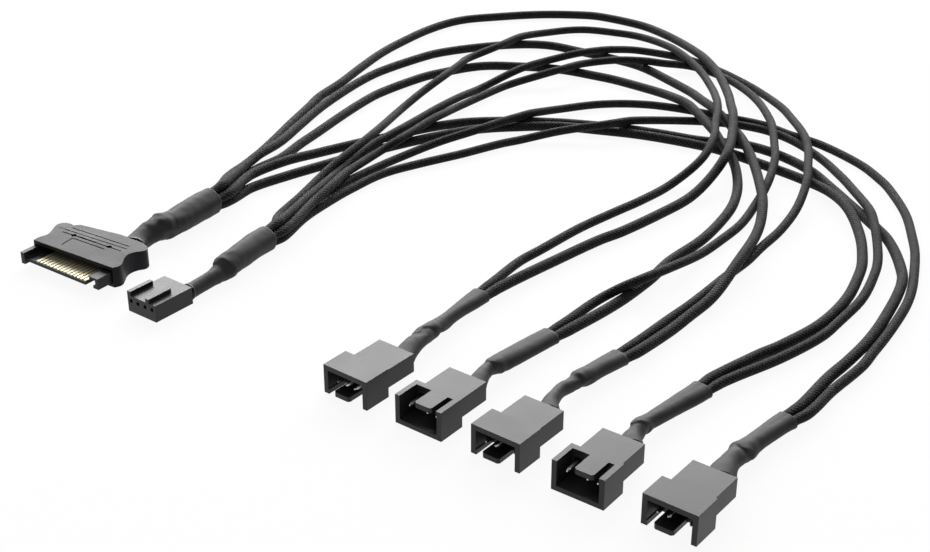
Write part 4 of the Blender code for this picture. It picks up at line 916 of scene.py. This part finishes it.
# %% Shrink tubes
def build_tube(name):
    centres, sizes, along, side = tube_rings(name)
    total = along[-1]

    def surface(index, angles):
        wide, tall = hugged(name, along[index], total, angles)
        out = (np.cos(angles) * wide * sizes[index, 0])[:, None] * side[index]
        out = out + (np.sin(angles) * tall * sizes[index, 1])[:, None] * np.array([0, 0, 1.0])
        spots = centres[index] + out
        away = out / np.linalg.norm(out, axis=1)[:, None]
        spots = spots + away * relief(name, along[index], total, spots, angles)[:, None]
        spots[:, 2] = np.maximum(spots[:, 2], FLOOR_GAP)
        return spots

    piece = rolled_tube(f"heat_shrink_{name}", centres, TUBE_SIDES, surface, HEAT_SHRINK)
    # the collar's faces take the near-black finish, painted shade of the gap at the housing
    if name in COLLARED:
        piece.data.materials.append(COLLAR_PAINTED_SHADE)
        start = Vector(centres[0]) * MM
        ahead = Vector(np.cross((0, 0, 1.0), side[0]))
        for face in piece.data.polygons:
            if abs((face.center - start).dot(ahead)) < COLLAR_LENGTH * MM:
                face.material_index = 1
    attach(piece, BODY)
    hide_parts(f"{name}_shrink")


for tube in SLEEVES:
    build_tube(tube)
print("shrink tubes:", len(SLEEVES))

# %% [markdown]
# The hood's top carries three long grooves, a bent one and two small pits, left by the
# mould. They are cut here, not in the solid model: a copy of the hood is welded, and
# thin bars and short pegs are subtracted from it by one Boolean each.

# %% Grooves and pits in the hood, in millimetres in the hood's own frame
GROOVE_WIDTH = 0.4
GROOVE_DEPTH = 0.22
PIT_RADIUS = 0.75
PIT_DEPTH = 1.0
PIT_SIDES = 16
HOOD_TOP = 5.8
HOOD_DROP = 0.7
HOOD_DROP_START = 13.0   # the top falls from here to the rear
GROOVES = [((-11.9, 15.4), (8.0, 16.8)), ((-12.7, 13.4), (8.6, 15.2)), ((-11.9, 12.0), (8.8, 13.3)),
           ((-6.5, 6.8), (-7.1, 11.0)), ((-7.1, 11.0), (4.4, 11.5))]
PITS = [(-8.0, 12.3), (4.5, 13.2)]
print("grooves:", len(GROOVES), "pits:", len(PITS))


# %% Tools that cut the hood
def hood_level(back):
    """Height of the hood's top, which falls towards its rear."""
    fall = max(back - HOOD_DROP_START, 0.0) / (HOOD_REAR - HOOD_DROP_START)
    return HOOD_TOP - HOOD_DROP * fall


def hood_matrix():
    place = Matrix.Translation(Vector((*HOOD_PLACE, 0)) * MM)
    return place @ Matrix.Rotation(math.radians(HOOD_TURN), 4, "Z")


def groove_bar(start, end):
    shape = bmesh.new()
    bmesh.ops.create_cube(shape, size=1.0)
    run = Vector((end[0] - start[0], end[1] - start[1], 0))
    size = Vector((run.length + GROOVE_WIDTH, GROOVE_WIDTH, 2 * GROOVE_DEPTH))
    bmesh.ops.scale(shape, vec=size * MM, verts=shape.verts)
    turn = Matrix.Rotation(math.atan2(run.y, run.x), 3, "Z")
    bmesh.ops.rotate(shape, cent=(0, 0, 0), matrix=turn, verts=shape.verts)
    middle = Vector(((start[0] + end[0]) / 2, (start[1] + end[1]) / 2, 0))
    middle.z = hood_level(middle.y)
    bmesh.ops.translate(shape, vec=middle * MM, verts=shape.verts)
    return shape


def pit_peg(place):
    shape = bmesh.new()
    bmesh.ops.create_cone(shape, cap_ends=True, segments=PIT_SIDES, radius1=PIT_RADIUS * MM,
                          radius2=PIT_RADIUS * MM, depth=2 * PIT_DEPTH * MM)
    bmesh.ops.translate(shape, vec=Vector((*place, hood_level(place[1]))) * MM, verts=shape.verts)
    return shape


def cut(piece, shape, name):
    """Subtracts a bmesh, given in the hood's own frame, and keeps the result as the mesh."""
    mesh = new_mesh(shape, name)
    mesh.transform(hood_matrix())
    tool = put_in_scene(name, mesh)
    step = piece.modifiers.new(name, "BOOLEAN")
    step.operation = "DIFFERENCE"
    step.object = tool
    step.solver = "EXACT"
    bpy.context.view_layer.update()
    graph = bpy.context.evaluated_depsgraph_get()
    piece.data = bpy.data.meshes.new_from_object(piece.evaluated_get(graph))
    piece.modifiers.clear()
    bpy.data.objects.remove(tool, do_unlink=True)


print("the first groove is cut", round(hood_level(GROOVES[0][0][1]), 2), "mm above the floor")

# %% [markdown]
# The solid hood is made of loose triangles. They are welded, and flat faces are made
# whole, before anything is cut, or each cut would leave thin slivers that shade badly.
# Weighted normals then let the large faces decide the shading.

# %% The hood
NODE_WELD = 1e-6
FLAT_ANGLE = 0.5         # degrees; faces that differ by less become one
SHARP_ANGLE = 26.0       # degrees; an edge sharper than this stays an edge
LARGE_FACES_DECIDE = 100


def welded_copy(name):
    """A bmesh of one of the solid model's pieces, with its loose triangles joined."""
    shape = bmesh.new()
    shape.from_mesh(nodes[name].data)
    bmesh.ops.remove_doubles(shape, verts=shape.verts, dist=NODE_WELD)
    return shape


def build_hood():
    shape = welded_copy("power_plug_hood")
    bmesh.ops.dissolve_limit(
        shape, angle_limit=math.radians(FLAT_ANGLE), verts=shape.verts, edges=shape.edges)
    hood = put_in_scene("grooved_hood", new_mesh(shape, "grooved_hood"))
    for index, (start, end) in enumerate(GROOVES):
        cut(hood, groove_bar(start, end), f"groove_{index + 1}")
    for index, place in enumerate(PITS):
        cut(hood, pit_peg(place), f"pit_{index + 1}")
    hood.data.shade_smooth()
    hood.data.set_sharp_from_angle(angle=math.radians(SHARP_ANGLE))
    shading = hood.modifiers.new("even_shading", "WEIGHTED_NORMAL")
    shading.keep_sharp = True
    shading.weight = LARGE_FACES_DECIDE
    hood.data.materials.clear()
    hood.data.materials.append(HOOD_BLACK)
    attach(hood, BODY)
    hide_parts("power_plug_hood")
    print("hood:", len(hood.data.polygons), "faces")


build_hood()

# %% [markdown]
# The gold contacts are pressed strips that fill most of their grooves. Each one is a
# welded copy of the solid strip, made wider about its own middle, so that only a thin
# dark line is left between neighbours.

# %% Contacts
CONTACT_SPREAD = 1.28


def build_contact(name):
    shape = welded_copy(name)
    bmesh.ops.transform(shape, matrix=hood_matrix().inverted(), verts=shape.verts)
    across = [vert.co.x for vert in shape.verts]
    middle = Vector(((min(across) + max(across)) / 2, 0, 0))
    about_middle = Matrix.Translation(-middle)
    bmesh.ops.scale(shape, vec=(CONTACT_SPREAD, 1, 1), space=about_middle, verts=shape.verts)
    bmesh.ops.transform(shape, matrix=hood_matrix(), verts=shape.verts)
    mesh = new_mesh(shape, f"wide_{name}")
    mesh.materials.append(GOLD)
    strip = put_in_scene(f"wide_{name}", mesh)
    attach(strip, BODY)
    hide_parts(name)


CONTACTS = [name for name in nodes if "contact" in name]
for contact in CONTACTS:
    build_contact(contact)
print("contacts:", len(CONTACTS))

# %% [markdown]
# The other pieces are shown as the solid model has them and only take a finish: the six
# small housings, the insulator with its tongue, the pins and the socket's terminals. The
# name of a piece tells which one.

# %% Finishes on the solid model's own pieces
FINISHES = {"housing": HOUSING_BLACK, "insulator": TONGUE_BLACK, "pin": TIN, "terminal": TIN}
for name, thing in nodes.items():
    for word, finish in FINISHES.items():
        if word in name:
            thing.data.materials.clear()
            thing.data.materials.append(finish)
print("dressed:", sum(any(word in name for word in FINISHES) for name in nodes))

# %% [markdown]
# The pale floor is seen in three ways. The camera sees it nearly white, with a faint
# shadow under the cable. Gloss and glass would mirror it as white. For the light that it
# throws back onto the cable it is grey, because a white one would lift every dark side.

# %% The floor's finish
FLOOR_GREY = (0.34, 0.34, 0.34)
WHITE = (1, 1, 1, 1)
SHADOW_SHARE = 0.08      # how much of the floor that the camera sees is lit, and so shaded


def floor_material():
    finish, bounce = new_material("pale_floor", FLOOR_GREY, 0.9)
    paths = node(finish, "ShaderNodeLightPath").outputs
    mirrored = reckon(finish, "MAXIMUM", paths["Is Glossy Ray"], paths["Is Transmission Ray"])
    white = node(finish, "ShaderNodeEmission", {"Strength": 1.0}).outputs[0]
    shaded = node(finish, "ShaderNodeBsdfDiffuse", {"Color": WHITE}).outputs[0]
    paper = mixed(finish, SHADOW_SHARE, white, shaded)
    unseen = mixed(finish, mirrored, bounce.outputs[0], white)
    both = mixed(finish, paths["Is Camera Ray"], unseen, paper)
    output = finish.node_tree.nodes["Material Output"]
    link(finish, both, output.inputs["Surface"])
    return finish


FLOOR_FINISH = floor_material()
print("floor finish:", FLOOR_FINISH.name)

# %% The floor
FLOOR_SIZE = 3.0         # metres from its middle to its edge

ground = bmesh.new()
bmesh.ops.create_grid(ground, x_segments=2, y_segments=2, size=FLOOR_SIZE)
floor = put_in_scene("floor", new_mesh(ground, "floor"))
floor.data.materials.append(FLOOR_FINISH)
print("floor:", 2 * FLOOR_SIZE, "m wide")

# %% [markdown]
# A strong soft box stands behind the cable on the left. The tops of the plugs reflect it
# towards the camera, which turns black plastic pale grey, and their fronts stay dark. A
# weak one above fills the rest, and the world adds a dim grey from all sides.


# %% Soft boxes
def soft_box(name, place, target, width, height, radiance):
    lamp = bpy.data.lights.new(name, "AREA")
    lamp.shape = "RECTANGLE"
    lamp.size = width
    lamp.size_y = height
    lamp.energy = radiance * math.pi * width * height
    box = put_in_scene(name, lamp)
    box.location = place
    box.rotation_euler = (Vector(target) - Vector(place)).to_track_quat("-Z", "Y").to_euler()
    print(name, round(lamp.energy, 1), "W")


MIDDLE = (0.0, 0.07, 0.0)
soft_box("top_light", (-0.1, 0.2, 0.9), MIDDLE, width=1.4, height=1.4, radiance=0.4)
soft_box("back_light", (-0.75, 1.0, 0.62), MIDDLE, width=1.8, height=0.75, radiance=9.6)

# %% World
DIM_GREY = (0.45, 0.45, 0.46, 1)
DIM_STRENGTH = 0.31

world = bpy.data.worlds.new("studio")
world.use_nodes = True
bpy.context.scene.world = world
dim = world.node_tree.nodes["Background"]
dim.inputs["Color"].default_value = DIM_GREY
dim.inputs["Strength"].default_value = DIM_STRENGTH
backdrop = node(world, "ShaderNodeBackground", {"Color": WHITE})
camera_ray = node(world, "ShaderNodeLightPath").outputs["Is Camera Ray"]
seen = mixed(world, camera_ray, dim.outputs[0], backdrop.outputs[0])
link(world, seen, world.node_tree.nodes["World Output"].inputs["Surface"])
print("world:", world.name)
